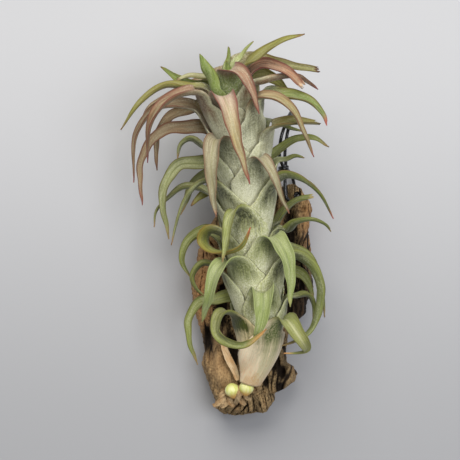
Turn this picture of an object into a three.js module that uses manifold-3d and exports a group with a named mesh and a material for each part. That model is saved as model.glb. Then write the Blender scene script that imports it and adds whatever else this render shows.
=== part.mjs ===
// A long-stemmed air plant, Tillandsia ionantha, mounted on a rough piece of bark with a wire loop.
// The bark lies on its back. +Z is up from the surface under it, +Y runs from the foot of the plant
// to its crown, +X to its right, and the origin is on the flat of the bark's back. Millimetres.
import * as THREE from "three";
import { mergeVertices } from "three/addons/utils/BufferGeometryUtils.js";
import Module from "manifold-3d";

const wasm = await Module();
wasm.setup();

// Driving dimensions of the stem and the spiral of leaves
const STEM_ROUTE = [
  [-1.5, -42, 30],
  [4, -19, 36],
  [3, 4, 39],
  [0.5, 27, 43],
  [-2, 50, 48],
  [-4.5, 72, 54],
  [-8, 92, 60],
  [-9.5, 112, 66],
];
const STEM_RADIUS = 4.2;
const STEM_SIDES = 10;
const STEM_STEPS = 26;
const STEM_FOOT = 5; // height of the stem's lower end, above the buds
const STEM_FOOT_SHARE = 0.7; // radius of that end, as a share of the full one
const STEM_FOOT_RUN = 4; // height over which the stem widens from it
const STEM_TIP_RADIUS = 0.35;
const STEM_TIP_HEIGHT = 137;
const DIVERGENCE = 137.5; // degrees from each leaf to the next one up
const CROWN_RANK = 39; // the last leaf below the crown, where the leaves begin to crowd
const FIRST_AZIMUTH = -1 - DIVERGENCE * CROWN_RANK;
const FIRST_HEIGHT = 2.7;
const LEAF_SPACING = 2.75;
const CROWN_SPACING = 1.8;
const SHEATH_LENGTH = 32;
const SHEATH_SHORTENING = 0.8; // each crown leaf is this much shorter than the one before
const SHEATH_BASE_RADIUS = 5.3;
const CROWN_RADIUS_STEP = 0.3;
const SHEATH_FLARE = 0.28; // how fast a sheath leaves the stem, per millimetre of height
const CROWN_FLARE_STEP = 0.012;

// Driving dimensions of a leaf's section
const SHEATH_HALF_WRAP = 50; // degrees
const SHEATH_BASE_NARROWING = 0.7;
const BLADE_HALF_ANGLE = 1.0; // radians, how deep the channel of a blade is
const NECK_HALF_WIDTH = 5.2;
const SHEATH_HALF_WIDTH = 12.6;
const SHOULDER_LENGTH = 14; // height over which a sheath narrows to its neck
const TIP_HALF_WIDTH = 0.45;
const CUT_HALF_WIDTH = 1.9;
const EDGE_THICKNESS = 0.6;
const RIB_THICKNESS = 1.2;
const TAPER = 0.85;
const CHANNEL_START = 9; // distance past the neck where the channel is fully formed
const ROLL_LENGTH = 14; // distance past the neck over which a blade rolls
const LEAF_COLUMNS = 4;
const BLADE_STEP = 5.6; // mean length of one step along a blade
const FEWEST_BLADE_STEPS = 6;
const MOST_BLADE_STEPS = 12;
const STEP_CROWDING = 1.3; // steps lie closer together where a blade bends over, at its neck
const BLADE_SAMPLES = 80; // points at which a blade's curve is measured
const THROAT = 6; // the straight run below a neck that a blade's curve starts from
// Where a sheath's sections lie: shares of its length, then millimetres below the neck, which a short
// sheath draws together to shares of its own
const SHEATH_DROPS = [1, 0.55, 10, 4.5];
const SHORT_SHEATH_DROPS = [1, 0.55, 0.4, 0.2];

// Each leaf's own habit: its turn from the spiral in degrees, the lift of its neck in millimetres, and
// the way of its blade, as points [reach from the stem's axis, swing in degrees, rise over the neck].
// roll turns a blade about its own length, in degrees, trim shortens a sheath at its base, and a high
// taper makes a blade thin out early. wrap and sheathHalf are how far round the stem a sheath may clasp
// to each side, in degrees, and how wide it may grow to each side, in millimetres.
const LEAVES = [
  {
    rank: 0, trim: 1.6, wrap: 95, columns: 13, turn: -6, lift: -4, width: 1.2, roll: 70, sheathHalf: 16.1,
    blade: [
      [17, 13, 4.3], [21, 12, 2.9], [24, 14, -0.2], [26, 17, -2.7],
      [25.5, 25, -5.4], [22, 23, -6.6], [18, 9, -7.3],
    ],
  },
  {
    rank: 2, turn: -1, lift: -3, width: 0.9,
    blade: [[22.5, 2, 3.2], [25, 1, -5], [26, 23, -9.6], [27, 40, -8.3], [26.5, 56, -3]],
  },
  { rank: 3, blade: [[18, 0, 0], [23, 1, 0], [25, 3, -4], [25, 5, -10]] },
  {
    rank: 4, lift: -2, width: 0.75,
    blade: [[21, 30, 0], [27, 40, 0], [32, 45, -8], [31, 48, -26], [25, 50, -37]],
  },
  {
    rank: 5, turn: 10, lift: -2, width: 1.5, roll: -22,
    blade: [[19, -4, 3], [23, -9, -5], [24, -14, -12], [22.5, -21, -18]],
  },
  { rank: 6, blade: [[19, -18, 1.5], [23, -28, 0], [26, -33, -6], [27, -35, -11]] },
  { rank: 7, lift: 5, blade: [[23, 0, 4], [28, 0, -1], [27, 2, -7], [23, 4, -12]] },
  {
    rank: 8, turn: -4, lift: 3, width: 0.85,
    blade: [[20, 14, 3], [26, 22, -2], [29, 26, -13], [25, 25, -28], [20, 14, -32], [13, 2, -35]],
  },
  {
    rank: 10, turn: 2, lift: 1, width: 1.1, roll: -62,
    blade: [[19, -9, 2], [25, -14, -0.7], [28, -19, -10.5], [28, -40, -26.5]],
  },
  { rank: 11, blade: [[19, -5, -2], [25, -8, -6], [30, -8, -18], [31, -8, -32]] },
  { rank: 12, lift: 4, blade: [[21, 10, 4], [29, 15, 0], [32, 18, -7], [29, 20, -16]] },
  {
    rank: 13, turn: 6, lift: 2, width: 1.15, roll: 40,
    blade: [[19, 2, 2], [25, 5, -4], [27, 5, -16], [27, 2, -30]],
  },
  { rank: 14, lift: -1, width: 0.8, blade: [[18, -14, 1], [20, -25, -4], [21, -30, -12]] },
  {
    rank: 15, width: 1.1,
    blade: [[19, -9, 2], [21, -12, -2], [20, 1, -5], [20, 27, -5], [19, 47, -3], [19, 63, 5]],
  },
  {
    rank: 16, lift: -3,
    blade: [[17, 2, -1.8], [23, -7, 2.6], [30, -6, 3.6], [35, -2, 0.8], [37, 2, -3]],
  },
  { rank: 17, lift: 6, blade: [[18, 30, 7], [22, 38, 5], [26, 45, 1]] },
  {
    rank: 18, turn: 4, lift: 1.5, width: 0.9, roll: -62,
    blade: [[18, -10, 3.7], [22, -16.7, 0.5], [25, -19.4, -7.3], [27, -25, -18.4]],
  },
  { rank: 19, lift: -12, cut: true, blade: [[17, 3, 0], [20, -6, 5], [25, -12, 9], [31, -22, 11]] },
  { rank: 20, lift: 3, blade: [[27, 0, 5], [35, 0, 1], [41, 2, -4], [43, 4, -11]] },
  {
    rank: 21, turn: 6, lift: 3,
    blade: [[20, 12, 5], [28, 11.5, 4.2], [36, 12.3, -2.2], [41, 16.4, -15]],
  },
  { rank: 22, blade: [[18, 20, 4], [28, 50, 2], [34, 65, -12]] },
  {
    rank: 23, turn: -6, lift: -1, width: 0.85,
    blade: [[22, -5, 6], [28, -12, 2], [33, -16, -6], [39, -18, -21]],
  },
  { rank: 24, lift: 5, width: 0.85, blade: [[20, 0, 0], [24, 0, 1], [28, 0, 0]] },
  { rank: 25, lift: 2, width: 0.9, blade: [[20, 25, 2], [29, 35, 3], [37, 40, -8], [37, 44, -29]] },
  {
    rank: 26, turn: 8, lift: 2, width: 0.9, roll: 50, taper: 1.25,
    blade: [[19, 6, 4], [25, 10, -1], [28, 14, -13], [28, 21, -22]],
  },
  {
    rank: 27, lift: -6, width: 0.75,
    blade: [[18, -16, 2.5], [22, -26, 6], [28, -39, 10], [34, -49, 10], [40, -49, 5.6]],
  },
  {
    rank: 28, lift: 3, width: 1.15,
    blade: [[18.5, -6, 3.6], [22, -10, 7], [26, -10, 5.5], [29, -10, -1.5]],
  },
  {
    rank: 29, turn: -6, lift: 4, width: 1.2, cut: true,
    blade: [[19, -8.3, 4.2], [25, -4.4, 6], [31, 0.1, 6.1], [37, 12.5, 3.5]],
  },
  { rank: 30, lift: 2, width: 0.9, blade: [[23, 45, 6], [35, 55, 7], [46, 60, -7], [48, 62, -28]] },
  {
    rank: 31, turn: -3, lift: -2.5, width: 1.15, roll: -40,
    blade: [[20, -6, 6], [25, -7, -2], [27, -7, -16], [27, -7, -29]],
  },
  { rank: 32, blade: [[19, 0, -2], [24, -5, -5], [30, -8, -7]] },
  { rank: 33, lift: 3, blade: [[19, 5, 6], [33, 10, 8], [45, 12, 0], [50, 14, -26]] },
  {
    rank: 34, turn: 4, lift: 1, width: 0.9, roll: 30,
    blade: [[20, -1.2, 9.7], [27, 6.9, 10.2], [33, 12.5, 4.3], [36, 15.4, -6.4], [37, 23.2, -18.4]],
  },
  { rank: 35, blade: [[19, 20, 2], [27, 55, 0], [34, 74, -1], [39, 82, -8], [41, 86, -26]] },
  {
    rank: 36, turn: -7, lift: 4.3, width: 1.15,
    blade: [[19, 4.6, 4.5], [27, 0, 4.6], [35, -3, 1.5], [40, -5.5, -3.5], [43.5, -12.5, -22.5]],
  },
  {
    rank: 37, width: 1.15,
    blade: [[21, -4, -1], [28, -5, -2], [35, -9, -5], [40.5, -12, -11], [42, -14, -15]],
  },
  { rank: 38, width: 0.8, blade: [[15, 12, 1.5], [21, 26, 4], [27, 36, 9], [31, 42, 13]] },
  {
    rank: 39, turn: -24, lift: -6, width: 1.4, roll: 40, taper: 1.1,
    blade: [[19, 14, 6], [25, 21, 1], [29, 24, -12], [29, 30, -32]],
  },
  {
    rank: 40, width: 0.9,
    blade: [[16, -16.5, 2], [20, -30, -0.6], [25, -31, -7.4], [27.3, -36, -10.8]],
  },
  {
    rank: 41, lift: -1.5, width: 1.1,
    blade: [[19, 0, 0.5], [29, 0, 2.3], [40.5, 4.8, -1.8], [51.5, 3.5, -9.6]],
  },
  {
    rank: 42, lift: -1.4, width: 0.75,
    blade: [[16, 16, 0.8], [22, 36, 1], [31, 50, -1.5], [40, 56, -12]],
  },
  {
    rank: 43, width: 0.9,
    blade: [[16, 14, -1], [25, 36, -5], [34, 56, -8], [40, 64, -10], [44, 68, -14]],
  },
  {
    rank: 44, turn: -33, lift: -4, width: 1.15, roll: 60, fresh: true,
    blade: [[10, 2, 4], [12, -2, 9.5], [13, -16, 15.2]],
  },
  {
    rank: 45, lift: -3, width: 0.95, cut: true,
    blade: [[10, -10, 4], [15, -16, 6], [21, -22, 5], [27, -26, 2], [32, -28, -4]],
  },
  { rank: 46, lift: -3, width: 0.65, cut: true, blade: [[14, 5, 0], [19, 12, 1], [24, 16, 0]] },
  {
    rank: 47, turn: -24, lift: -3, width: 1.25, roll: 42, taper: 1,
    blade: [[15, 6, 5.5], [21, 19, 5.2], [24, 26, -2], [25, 31, -13.8]],
  },
  {
    rank: 48, lift: 0.3, width: 0.7, cut: true,
    blade: [[10, -20, 1.5], [16, -36, 1], [22, -47, -1], [29, -54, -3.2], [39, -60, -5.4]],
  },
  { rank: 49, lift: -9, width: 0.8, blade: [[5, 0, 2.5], [5.6, 0, 5]] },
  {
    rank: 50, lift: -5, width: 1.9, roll: 50,
    blade: [[8, 3, 3.8], [15, 2, 9], [24, 2, 14.2], [35, 1, 17.6]],
  },
  { rank: 51, lift: -5, width: 0.38, blade: [[6, -22, 5], [7, -27, 10]] },
  { rank: 52, lift: -5, width: 0.34, blade: [[4, 0, 3], [5, 0, 5]] },
  { rank: 53, lift: -3, width: 0.34, blade: [[5, -20, 2], [8, -30, 6], [11, -35, 9]] },
];

// Where the leaves change colour, from the foot up
const FIRST_SILVER_RANK = 15;
const FIRST_FLUSHED_RANK = 29;
const FIRST_YOUNG_RANK = 49;

// Driving dimensions of the small parts at the foot
const BUDS = [
  { name: "bud_left", centre: [-7.9, -42.6, 31.6], radius: 3.3, length: 7, lean: 14 },
  { name: "bud_right", centre: [-1.5, -41.4, 33.4], radius: 3.2, length: 6.6, lean: -8 },
];
const HUSKS = [
  { from: [-0.5, -36, 30], to: [-9, -45, 27.4], tip: [-14, -48, 28.3], half: 2.1 },
  { from: [-0.5, -36, 30], to: [-4.5, -46, 27.6], tip: [-6, -50, 28.6], half: 1.8 },
  { from: [-0.5, -36, 30], to: [0.5, -44, 27.7], tip: [0.5, -48.5, 28.9], half: 1.5 },
];
const DRY_LEAF_ROUTE = [
  [-5.4, -38, 29.6],
  [-7, -33, 29.2],
  [-9.6, -28, 28.4],
  [-11.8, -22.5, 28],
  [-12.6, -17.5, 28.8],
];
const DRY_LEAF_HALF_WIDTH = 1.8;
const DRY_LEAF_STEPS = 8;
const HUSK_STEPS = 5;
const SCRAP_THICKNESS = 0.7;
const SCRAP_CURL = 0.25; // radians, how far a dry scrap curls up to each side
const SCRAP_END_SHARE = 0.55; // width of its ends, as a share of its greatest width
const BUD_STEPS = 7;
const BUD_SIDES = 12;
const BUD_FULLNESS = 0.7; // the lower, the blunter a bud's ends
const BUD_BELLY = 0.85; // below 1, a bud is widest nearer to its foot

// Driving dimensions of the bark: its edges, as points [distance along Y, X], from foot to top
const BARK_RIGHT = [
  [-56, -6],
  [-54, 9],
  [-49, 12.4],
  [-45, 12.6],
  [-43.6, 16.5],
  [-40, 22.1],
  [-36.3, 23.3],
  [-33, 21.2],
  [-31.2, 18.2],
  [-26, 17.9],
  [-18, 18.9],
  [-11, 23.5],
  [-8, 27.2],
  [-2, 27.8],
  [4, 30.9],
  [17, 29.2],
  [22, 29.6],
  [30, 28.5],
  [36, 28.8],
  [41, 30],
  [45, 28.8],
  [49, 25.8],
  [52, 24.6],
  [54, 20.5],
];
const BARK_LEFT = [
  [-56, -12],
  [-53, -16.2],
  [-49, -16.2],
  [-40, -19.8],
  [-32, -22.8],
  [-25, -21.2],
  [-17, -22.8],
  [-13, -24.3],
  [-3, -26.7],
  [7, -28],
  [14, -25.5],
  [22, -24.3],
  [33, -19.2],
  [38, -16],
  [43, -4],
  [49, 7],
  [54, 17.5],
];
const BARK_STATIONS = 37;
const BARK_TOP_POINTS = 17;
const BARK_BACK_POINTS = 9;
const BARK_THICKNESS = 25;
const BARK_SIDE_RISE = 7; // height above the back of the line where its front begins
const BARK_BACK_FLAT = 0.76; // share of its width over which the back is flat
const BARK_TOP_LIFT = 7; // how far the back of the thin top end stands clear of the surface
const BARK_FOOT_LIFT = 4;
const BARK_TOP_LIFT_RUN = [24, 12]; // distances below the top between which its back rises
const BARK_FOOT_LIFT_RUN = 7;
const BARK_END_SHARE = 0.55; // thickness at both ends, as a share of the full one
const BARK_END_RUN = 5; // distance from an end at which it is fully thick
const BARK_END_START = 2; // distance past an end at which it would be thinnest
const BARK_SHOULDER = 5; // the higher, the squarer the front's long edges
const BARK_SHOULDER_SOFTNESS = 0.6;
const BED_HEIGHT = 21.3; // the hollow that the plant lies in
const BED_START = -37; // where the hollow begins, along Y
const BED_SPREAD = 13;
const BED_RUN = 8; // distance over which it comes to its full depth
const SEAT_HEIGHT = 26.4; // the rise that the foot of the plant sits on
const SEAT_CENTRE = [0, -42];
const SEAT_SPREAD = [9, 8];
// Above 1, the middle of a bump is cut off flat
const BED_FILL = 1.6;
const SEAT_FILL = 1.5;
// Shallow furrows: rise, then waves per millimetre across and along, and how fast they wander
const BARK_WAVES = [
  { rise: 1.1, across: 0.9, along: 0, wander: 0.11 },
  { rise: 0.9, across: 0, along: 0.35, wander: 0.21 },
  { rise: 0.6, across: 0.47, along: -0.53, wander: 0.07 },
];
// The right ridge and the crevice beside it, the left cleft and the slab below it, and the side lobe
const BARK_RELIEF = [
  { centre: [25, 26], spread: [5, 28], rise: 3 },
  { centre: [18, 24], spread: [3, 22], rise: -8 },
  { centre: [-19.5, -20], spread: [3, 8], rise: -11 },
  { centre: [-13, -34], spread: [8, 12], rise: 1.5 },
  { centre: [21, -38], spread: [4, 7], rise: -4 },
];
const WIRE_HOLE = [22.4, 47.6];
const WIRE_HOLE_RADIUS = 1.5;
const WIRE_HOLE_SIDES = 10;

// Driving dimensions of the hanging wire
const WIRE_RADIUS = 0.6;
const WIRE_SIDES = 8;
const WIRE_STEPS = 96;
const WIRE_ROUTE = [
  [14, 57, 32],
  [16.4, 59, 31.6],
  [15, 61.5, 33.4],
  [13.6, 66, 37],
  [14.4, 74, 40.5],
  [17.2, 82, 39],
  [19.2, 85.6, 33],
  [18.8, 82, 26.6],
  [17.2, 74, 24.4],
  [16.4, 66, 26.8],
  [16.6, 61.5, 29.6],
  [15, 59.2, 29.2],
  [16.2, 56, 31],
  [16.4, 51, 31.6],
  [17.2, 46, 31.2],
  [19.4, 44.4, 30.2],
  [21.8, 46, 28.6],
  [22.4, 47.6, 24],
  [22.4, 47.6, 12],
  [22.4, 48, 6],
  [22, 51, 3.6],
  [20.6, 56.6, 5],
  [18, 60, 12],
  [15.6, 60.2, 21],
  [13.6, 58.6, 27.6],
];

const finishes = {
  young: new THREE.MeshStandardMaterial({ color: 0x8fb05a, roughness: 0.6 }),
  flushed: new THREE.MeshStandardMaterial({ color: 0xa98472, roughness: 0.62 }),
  silver: new THREE.MeshStandardMaterial({ color: 0xa9ad8b, roughness: 0.72 }),
  green: new THREE.MeshStandardMaterial({ color: 0x8c9d62, roughness: 0.68 }),
  stem: new THREE.MeshStandardMaterial({ color: 0x8a7350, roughness: 0.9 }),
  bud: new THREE.MeshStandardMaterial({ color: 0xcfd78c, roughness: 0.5 }),
  dry: new THREE.MeshStandardMaterial({ color: 0xc2a47e, roughness: 0.85 }),
  bark: new THREE.MeshStandardMaterial({ color: 0x6f5a47, roughness: 0.95 }),
  wire: new THREE.MeshStandardMaterial({ color: 0x16171b, roughness: 0.35 }),
};

const { degToRad, clamp, lerp, smoothstep } = THREE.MathUtils;
const toVector = (point) => new THREE.Vector3(...point);
const toCurve = (points) => new THREE.CatmullRomCurve3(points.map(toVector));

// Rings of equal length, joined into one closed skin. Each end is closed by a strip across the ring.
function loft(rings) {
  const count = rings[0].length;
  const positions = rings.flat().flatMap((p) => [p.x, p.y, p.z]);
  const index = [];
  for (let i = 0; i < rings.length - 1; i++)
    for (let j = 0; j < count; j++) {
      const next = (j + 1) % count;
      const a = i * count + j;
      const b = i * count + next;
      const c = (i + 1) * count + next;
      const d = (i + 1) * count + j;
      // The second half of a ring runs back, and its faces are split like those they lie behind.
      if (j < count / 2) index.push(a, b, c, a, c, d);
      else index.push(a, b, d, b, c, d);
    }
  const last = (rings.length - 1) * count;
  for (let j = 0; j < count / 2 - 1; j++) {
    const k = count - 1 - j;
    index.push(j, k, j + 1, j + 1, k, k - 1);
    index.push(last + j, last + j + 1, last + k, last + j + 1, last + k - 1, last + k);
  }
  const geometry = new THREE.BufferGeometry();
  geometry.setAttribute("position", new THREE.Float32BufferAttribute(positions, 3));
  geometry.setIndex(index);
  return geometry;
}

// Joins and cuts of closed meshes
function toSolid(geometry) {
  const bare = new THREE.BufferGeometry();
  bare.setAttribute("position", geometry.getAttribute("position"));
  bare.setIndex(geometry.getIndex());
  const merged = mergeVertices(bare, 1e-4);
  return new wasm.Manifold(
    new wasm.Mesh({
      numProp: 3,
      vertProperties: merged.attributes.position.array,
      triVerts: new Uint32Array(merged.index.array),
    }),
  );
}

function fromSolid(solid) {
  const { vertProperties, triVerts } = solid.getMesh();
  const geometry = new THREE.BufferGeometry();
  geometry.setAttribute("position", new THREE.Float32BufferAttribute(vertProperties, 3));
  geometry.setIndex([...triVerts]);
  return geometry;
}

// The stem's axis, and a frame across it at a height measured along it
const stemCurve = toCurve(STEM_ROUTE);
const stemLength = stemCurve.getLength();

function stemFrame(height) {
  const share = clamp(height / stemLength, 0, 1);
  const origin = stemCurve.getPointAt(share);
  const along = stemCurve.getTangentAt(share);
  origin.addScaledVector(along, height - share * stemLength);
  const right = new THREE.Vector3(1, 0, 0);
  right.addScaledVector(along, -right.dot(along)).normalize();
  const front = new THREE.Vector3().crossVectors(right, along);
  return { origin, along, right, front };
}

function radial(frame, azimuth) {
  const angle = degToRad(azimuth);
  return frame.front
    .clone()
    .multiplyScalar(Math.cos(angle))
    .addScaledVector(frame.right, Math.sin(angle));
}

function aroundStem(height, azimuth, radius) {
  const frame = stemFrame(height);
  return frame.origin.addScaledVector(radial(frame, azimuth), radius);
}

// Where a leaf sits on the spiral, from its rank
function seatOf({ rank, turn = 0, lift = 0, trim = 0 }) {
  const above = Math.max(0, rank - CROWN_RANK);
  const below = Math.min(rank, CROWN_RANK);
  const base = FIRST_HEIGHT + LEAF_SPACING * below + CROWN_SPACING * above;
  const sheath = SHEATH_LENGTH - SHEATH_SHORTENING * above;
  return {
    azimuth: FIRST_AZIMUTH + DIVERGENCE * rank + turn,
    base,
    start: base + trim,
    neck: base + sheath + lift,
    baseRadius: SHEATH_BASE_RADIUS - CROWN_RADIUS_STEP * above,
    flare: SHEATH_FLARE - CROWN_FLARE_STEP * above,
  };
}

const sheathRadius = (seat, height) => seat.baseRadius + seat.flare * (height - seat.base);

// Points along a curve, evenly spaced, each with its direction and with the side that faces outward
function trackOf(points, outward, roll, stepsFor) {
  const curve = toCurve(points);
  const start = 1 / (points.length - 1);
  const samples = BLADE_SAMPLES;
  const fine = [];
  for (let i = 0; i <= samples; i++) fine.push(curve.getPoint(lerp(start, 1, i / samples)));
  const lengths = [0];
  for (let i = 1; i <= samples; i++) lengths.push(lengths[i - 1] + fine[i].distanceTo(fine[i - 1]));
  const total = lengths[samples];
  const steps = stepsFor(total);
  const track = [];
  const normal = outward.clone();
  let step = 0;
  for (let i = 0; i <= samples; i++) {
    const ahead = fine[Math.min(i + 1, samples)].clone();
    const direction = ahead.sub(fine[Math.max(i - 1, 0)]).normalize();
    normal.addScaledVector(direction, -normal.dot(direction)).normalize();
    if (lengths[i] >= total * (step / steps) ** STEP_CROWDING - 1e-6) {
      const turned = smoothstep(lengths[i], 0, ROLL_LENGTH) * degToRad(roll);
      const facing = normal.clone().applyAxisAngle(direction, turned);
      track.push({ point: fine[i], direction, normal: facing, distance: lengths[i] });
      step++;
    }
  }
  return { track, total };
}

// One cross-section of a leaf: an arc whose rib is at the point, hollow on the side away from outward
function leafRing(point, outward, side, halfWidth, bend, rib, columns) {
  const outer = [];
  const inner = [];
  for (let j = 0; j < columns; j++) {
    const share = (2 * j) / (columns - 1) - 1;
    const angle = share * halfWidth * bend;
    const across = bend > 1e-6 ? Math.sin(angle) / bend : share * halfWidth;
    const deep = bend > 1e-6 ? (1 - Math.cos(angle)) / bend : 0;
    const half = lerp(rib, EDGE_THICKNESS, share * share) / 2;
    const place = point.clone().addScaledVector(side, across).addScaledVector(outward, -deep);
    const facing = side.clone().multiplyScalar(Math.sin(angle));
    facing.addScaledVector(outward, Math.cos(angle));
    outer.push(place.clone().addScaledVector(facing, half));
    inner.unshift(place.clone().addScaledVector(facing, -half));
  }
  return [...outer, ...inner];
}

function bladeRings(track, total, { neckWidth, tipWidth, neckBend, columns, taper }) {
  return track.map(({ point, direction, normal, distance }) => {
    const share = distance / total;
    const halfWidth = lerp(tipWidth, neckWidth, (1 - share) ** taper);
    const formed = smoothstep(distance, 0, CHANNEL_START);
    const bend = lerp(neckBend, BLADE_HALF_ANGLE / halfWidth, formed);
    const side = new THREE.Vector3().crossVectors(direction, normal);
    const rib = lerp(RIB_THICKNESS, EDGE_THICKNESS, share);
    return leafRing(point, normal, side, halfWidth, bend, rib, columns);
  });
}

function leafGeometry(leaf) {
  const seat = seatOf(leaf);
  const { width = 1, roll = 0, wrap = SHEATH_HALF_WRAP, cut = false, columns = LEAF_COLUMNS } = leaf;
  const { taper = TAPER, sheathHalf = SHEATH_HALF_WIDTH } = leaf;
  const halfWrap = degToRad(wrap);
  const neckRadius = sheathRadius(seat, seat.neck);
  const neckHalf = Math.min(NECK_HALF_WIDTH * width, neckRadius * halfWrap);
  const sheath = seat.neck - seat.start;
  const sheathRings = SHEATH_DROPS.map((drop, i) => {
    const fall = drop <= 1 ? drop * sheath : Math.min(drop, SHORT_SHEATH_DROPS[i] * sheath);
    const height = seat.neck - fall;
    const radius = sheathRadius(seat, height);
    const frame = stemFrame(height);
    const outward = radial(frame, seat.azimuth);
    const side = radial(frame, seat.azimuth + 90);
    const spread = Math.sin((Math.min(fall / SHOULDER_LENGTH, 1) * Math.PI) / 2);
    const shoulder = Math.min(lerp(neckHalf, sheathHalf, spread), radius * halfWrap);
    const halfWidth = drop === 1 ? shoulder * SHEATH_BASE_NARROWING : shoulder;
    const point = frame.origin.addScaledVector(outward, radius);
    return leafRing(point, outward, side, halfWidth, 1 / radius, RIB_THICKNESS, columns);
  });
  const route = [
    aroundStem(seat.neck - THROAT, seat.azimuth, sheathRadius(seat, seat.neck - THROAT)),
    aroundStem(seat.neck, seat.azimuth, neckRadius),
    ...leaf.blade.map(([reach, swing, rise]) =>
      aroundStem(seat.neck + rise, seat.azimuth + swing, reach),
    ),
  ];
  const outward = radial(stemFrame(seat.neck), seat.azimuth);
  const stepsFor = (length) =>
    clamp(Math.round(length / BLADE_STEP), FEWEST_BLADE_STEPS, MOST_BLADE_STEPS);
  const { track, total } = trackOf(route.map((p) => p.toArray()), outward, roll, stepsFor);
  const tipWidth = cut ? CUT_HALF_WIDTH * width : TIP_HALF_WIDTH;
  const shape = { neckWidth: neckHalf, tipWidth, neckBend: 1 / neckRadius, columns, taper };
  const rings = bladeRings(track, total, shape);
  return loft([...sheathRings, ...rings]);
}

// A thin dead leaf or scrap, flat in section
function scrapGeometry(route, halfWidth, steps) {
  const up = new THREE.Vector3(0, 0, 1);
  const lead = toVector(route[0]).multiplyScalar(2).sub(toVector(route[1])).toArray();
  const { track, total } = trackOf([lead, ...route], up, 0, () => steps);
  return loft(
    track.map(({ point, direction, normal, distance }) => {
      const side = new THREE.Vector3().crossVectors(direction, normal);
      const share = distance / total;
      const half = halfWidth * lerp(SCRAP_END_SHARE, 1, Math.sin(Math.PI * share));
      return leafRing(point, normal, side, half, SCRAP_CURL / half, SCRAP_THICKNESS, LEAF_COLUMNS);
    }),
  );
}

function stemRadius(height) {
  const crownStart = FIRST_HEIGHT + LEAF_SPACING * CROWN_RANK;
  const above = Math.max(0, height - crownStart) / CROWN_SPACING;
  const foot = lerp(STEM_FOOT_SHARE, 1, smoothstep(height, STEM_FOOT, STEM_FOOT + STEM_FOOT_RUN));
  return Math.max(STEM_TIP_RADIUS, STEM_RADIUS * foot - CROWN_RADIUS_STEP * above);
}

function stemGeometry() {
  const rings = [];
  for (let i = 0; i <= STEM_STEPS; i++) {
    const height = lerp(STEM_FOOT, STEM_TIP_HEIGHT, i / STEM_STEPS);
    const ring = [];
    for (let j = 0; j < STEM_SIDES; j++)
      ring.push(aroundStem(height, (360 * j) / STEM_SIDES, stemRadius(height)));
    rings.push(ring);
  }
  let solid = toSolid(loft(rings));
  for (const { from, to, tip, half } of HUSKS)
    solid = solid.add(toSolid(scrapGeometry([from, to, tip], half, HUSK_STEPS)));
  return fromSolid(solid);
}

function budGeometry({ radius, length }) {
  const profile = [new THREE.Vector2(0, -length / 2)];
  for (let i = 1; i < BUD_STEPS; i++) {
    const share = i / BUD_STEPS;
    const swell = Math.sin(Math.PI * share ** BUD_BELLY) ** BUD_FULLNESS;
    profile.push(new THREE.Vector2(radius * swell, lerp(-length / 2, length / 2, share)));
  }
  profile.push(new THREE.Vector2(0, length / 2));
  return new THREE.LatheGeometry(profile, BUD_SIDES);
}

// Where one of the bark's edges is at a distance along Y
function edgeAt(edge, y) {
  const last = edge.length - 1;
  const after = clamp(edge.findIndex(([at]) => at >= y), 1, last);
  const [y0, x0] = edge[after - 1];
  const [y1, x1] = edge[after];
  return lerp(x0, x1, clamp((y - y0) / (y1 - y0), 0, 1));
}

const bump = (value, centre, spread) => Math.exp(-(((value - centre) / spread) ** 2));

// Height of the bark's front over the surface it rests on
function barkFront(x, y) {
  let height = BARK_THICKNESS;
  for (const { rise, across, along, wander } of BARK_WAVES)
    height += rise * Math.sin(x * across + y * along + 2 * Math.sin((x + y) * wander));
  for (const { centre, spread, rise } of BARK_RELIEF)
    height += rise * bump(x, centre[0], spread[0]) * bump(y, centre[1], spread[1]);
  const axis = aroundStem(clamp(y - STEM_ROUTE[0][1], 0, stemLength), 0, 0).x;
  const inBed = bump(x, axis, BED_SPREAD) * smoothstep(y, BED_START, BED_START + BED_RUN);
  const onSeat = bump(x, SEAT_CENTRE[0], SEAT_SPREAD[0]) * bump(y, SEAT_CENTRE[1], SEAT_SPREAD[1]);
  const bed = lerp(height, BED_HEIGHT, Math.min(1, BED_FILL * inBed));
  return lerp(bed, SEAT_HEIGHT, Math.min(1, SEAT_FILL * onSeat));
}

// One section of the bark across Y: its back from left to right, then its front from right to left
function barkRing(y) {
  const first = BARK_LEFT[0][0];
  const last = BARK_LEFT[BARK_LEFT.length - 1][0];
  const left = edgeAt(BARK_LEFT, y);
  const right = edgeAt(BARK_RIGHT, y);
  const nearEnd = Math.min(y - first, last - y);
  const atEnd = 1 - smoothstep(nearEnd, -BARK_END_START, BARK_END_RUN);
  const [liftStart, liftEnd] = BARK_TOP_LIFT_RUN;
  const topLift = BARK_TOP_LIFT * smoothstep(y, last - liftStart, last - liftEnd);
  const lift = topLift + BARK_FOOT_LIFT * (1 - smoothstep(y, first, first + BARK_FOOT_LIFT_RUN));
  const ring = [];
  for (let j = 0; j < BARK_BACK_POINTS; j++) {
    const share = j / (BARK_BACK_POINTS - 1);
    const outside = Math.max(0, Math.abs(2 * share - 1) - BARK_BACK_FLAT) / (1 - BARK_BACK_FLAT);
    ring.push(new THREE.Vector3(lerp(left, right, share), y, lift + BARK_SIDE_RISE * outside ** 2));
  }
  for (let j = 1; j <= BARK_TOP_POINTS; j++) {
    const share = 1 - j / (BARK_TOP_POINTS + 1);
    const eased = 0.5 - 0.5 * Math.cos(Math.PI * share);
    const x = lerp(left, right, (share + eased) / 2);
    const crown = (1 - Math.abs(2 * share - 1) ** BARK_SHOULDER) ** BARK_SHOULDER_SOFTNESS;
    const low = lift + BARK_SIDE_RISE;
    const full = (barkFront(x, y) - low) * crown;
    ring.push(new THREE.Vector3(x, y, low + full * lerp(1, BARK_END_SHARE, atEnd)));
  }
  return ring.reverse();
}

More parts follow.
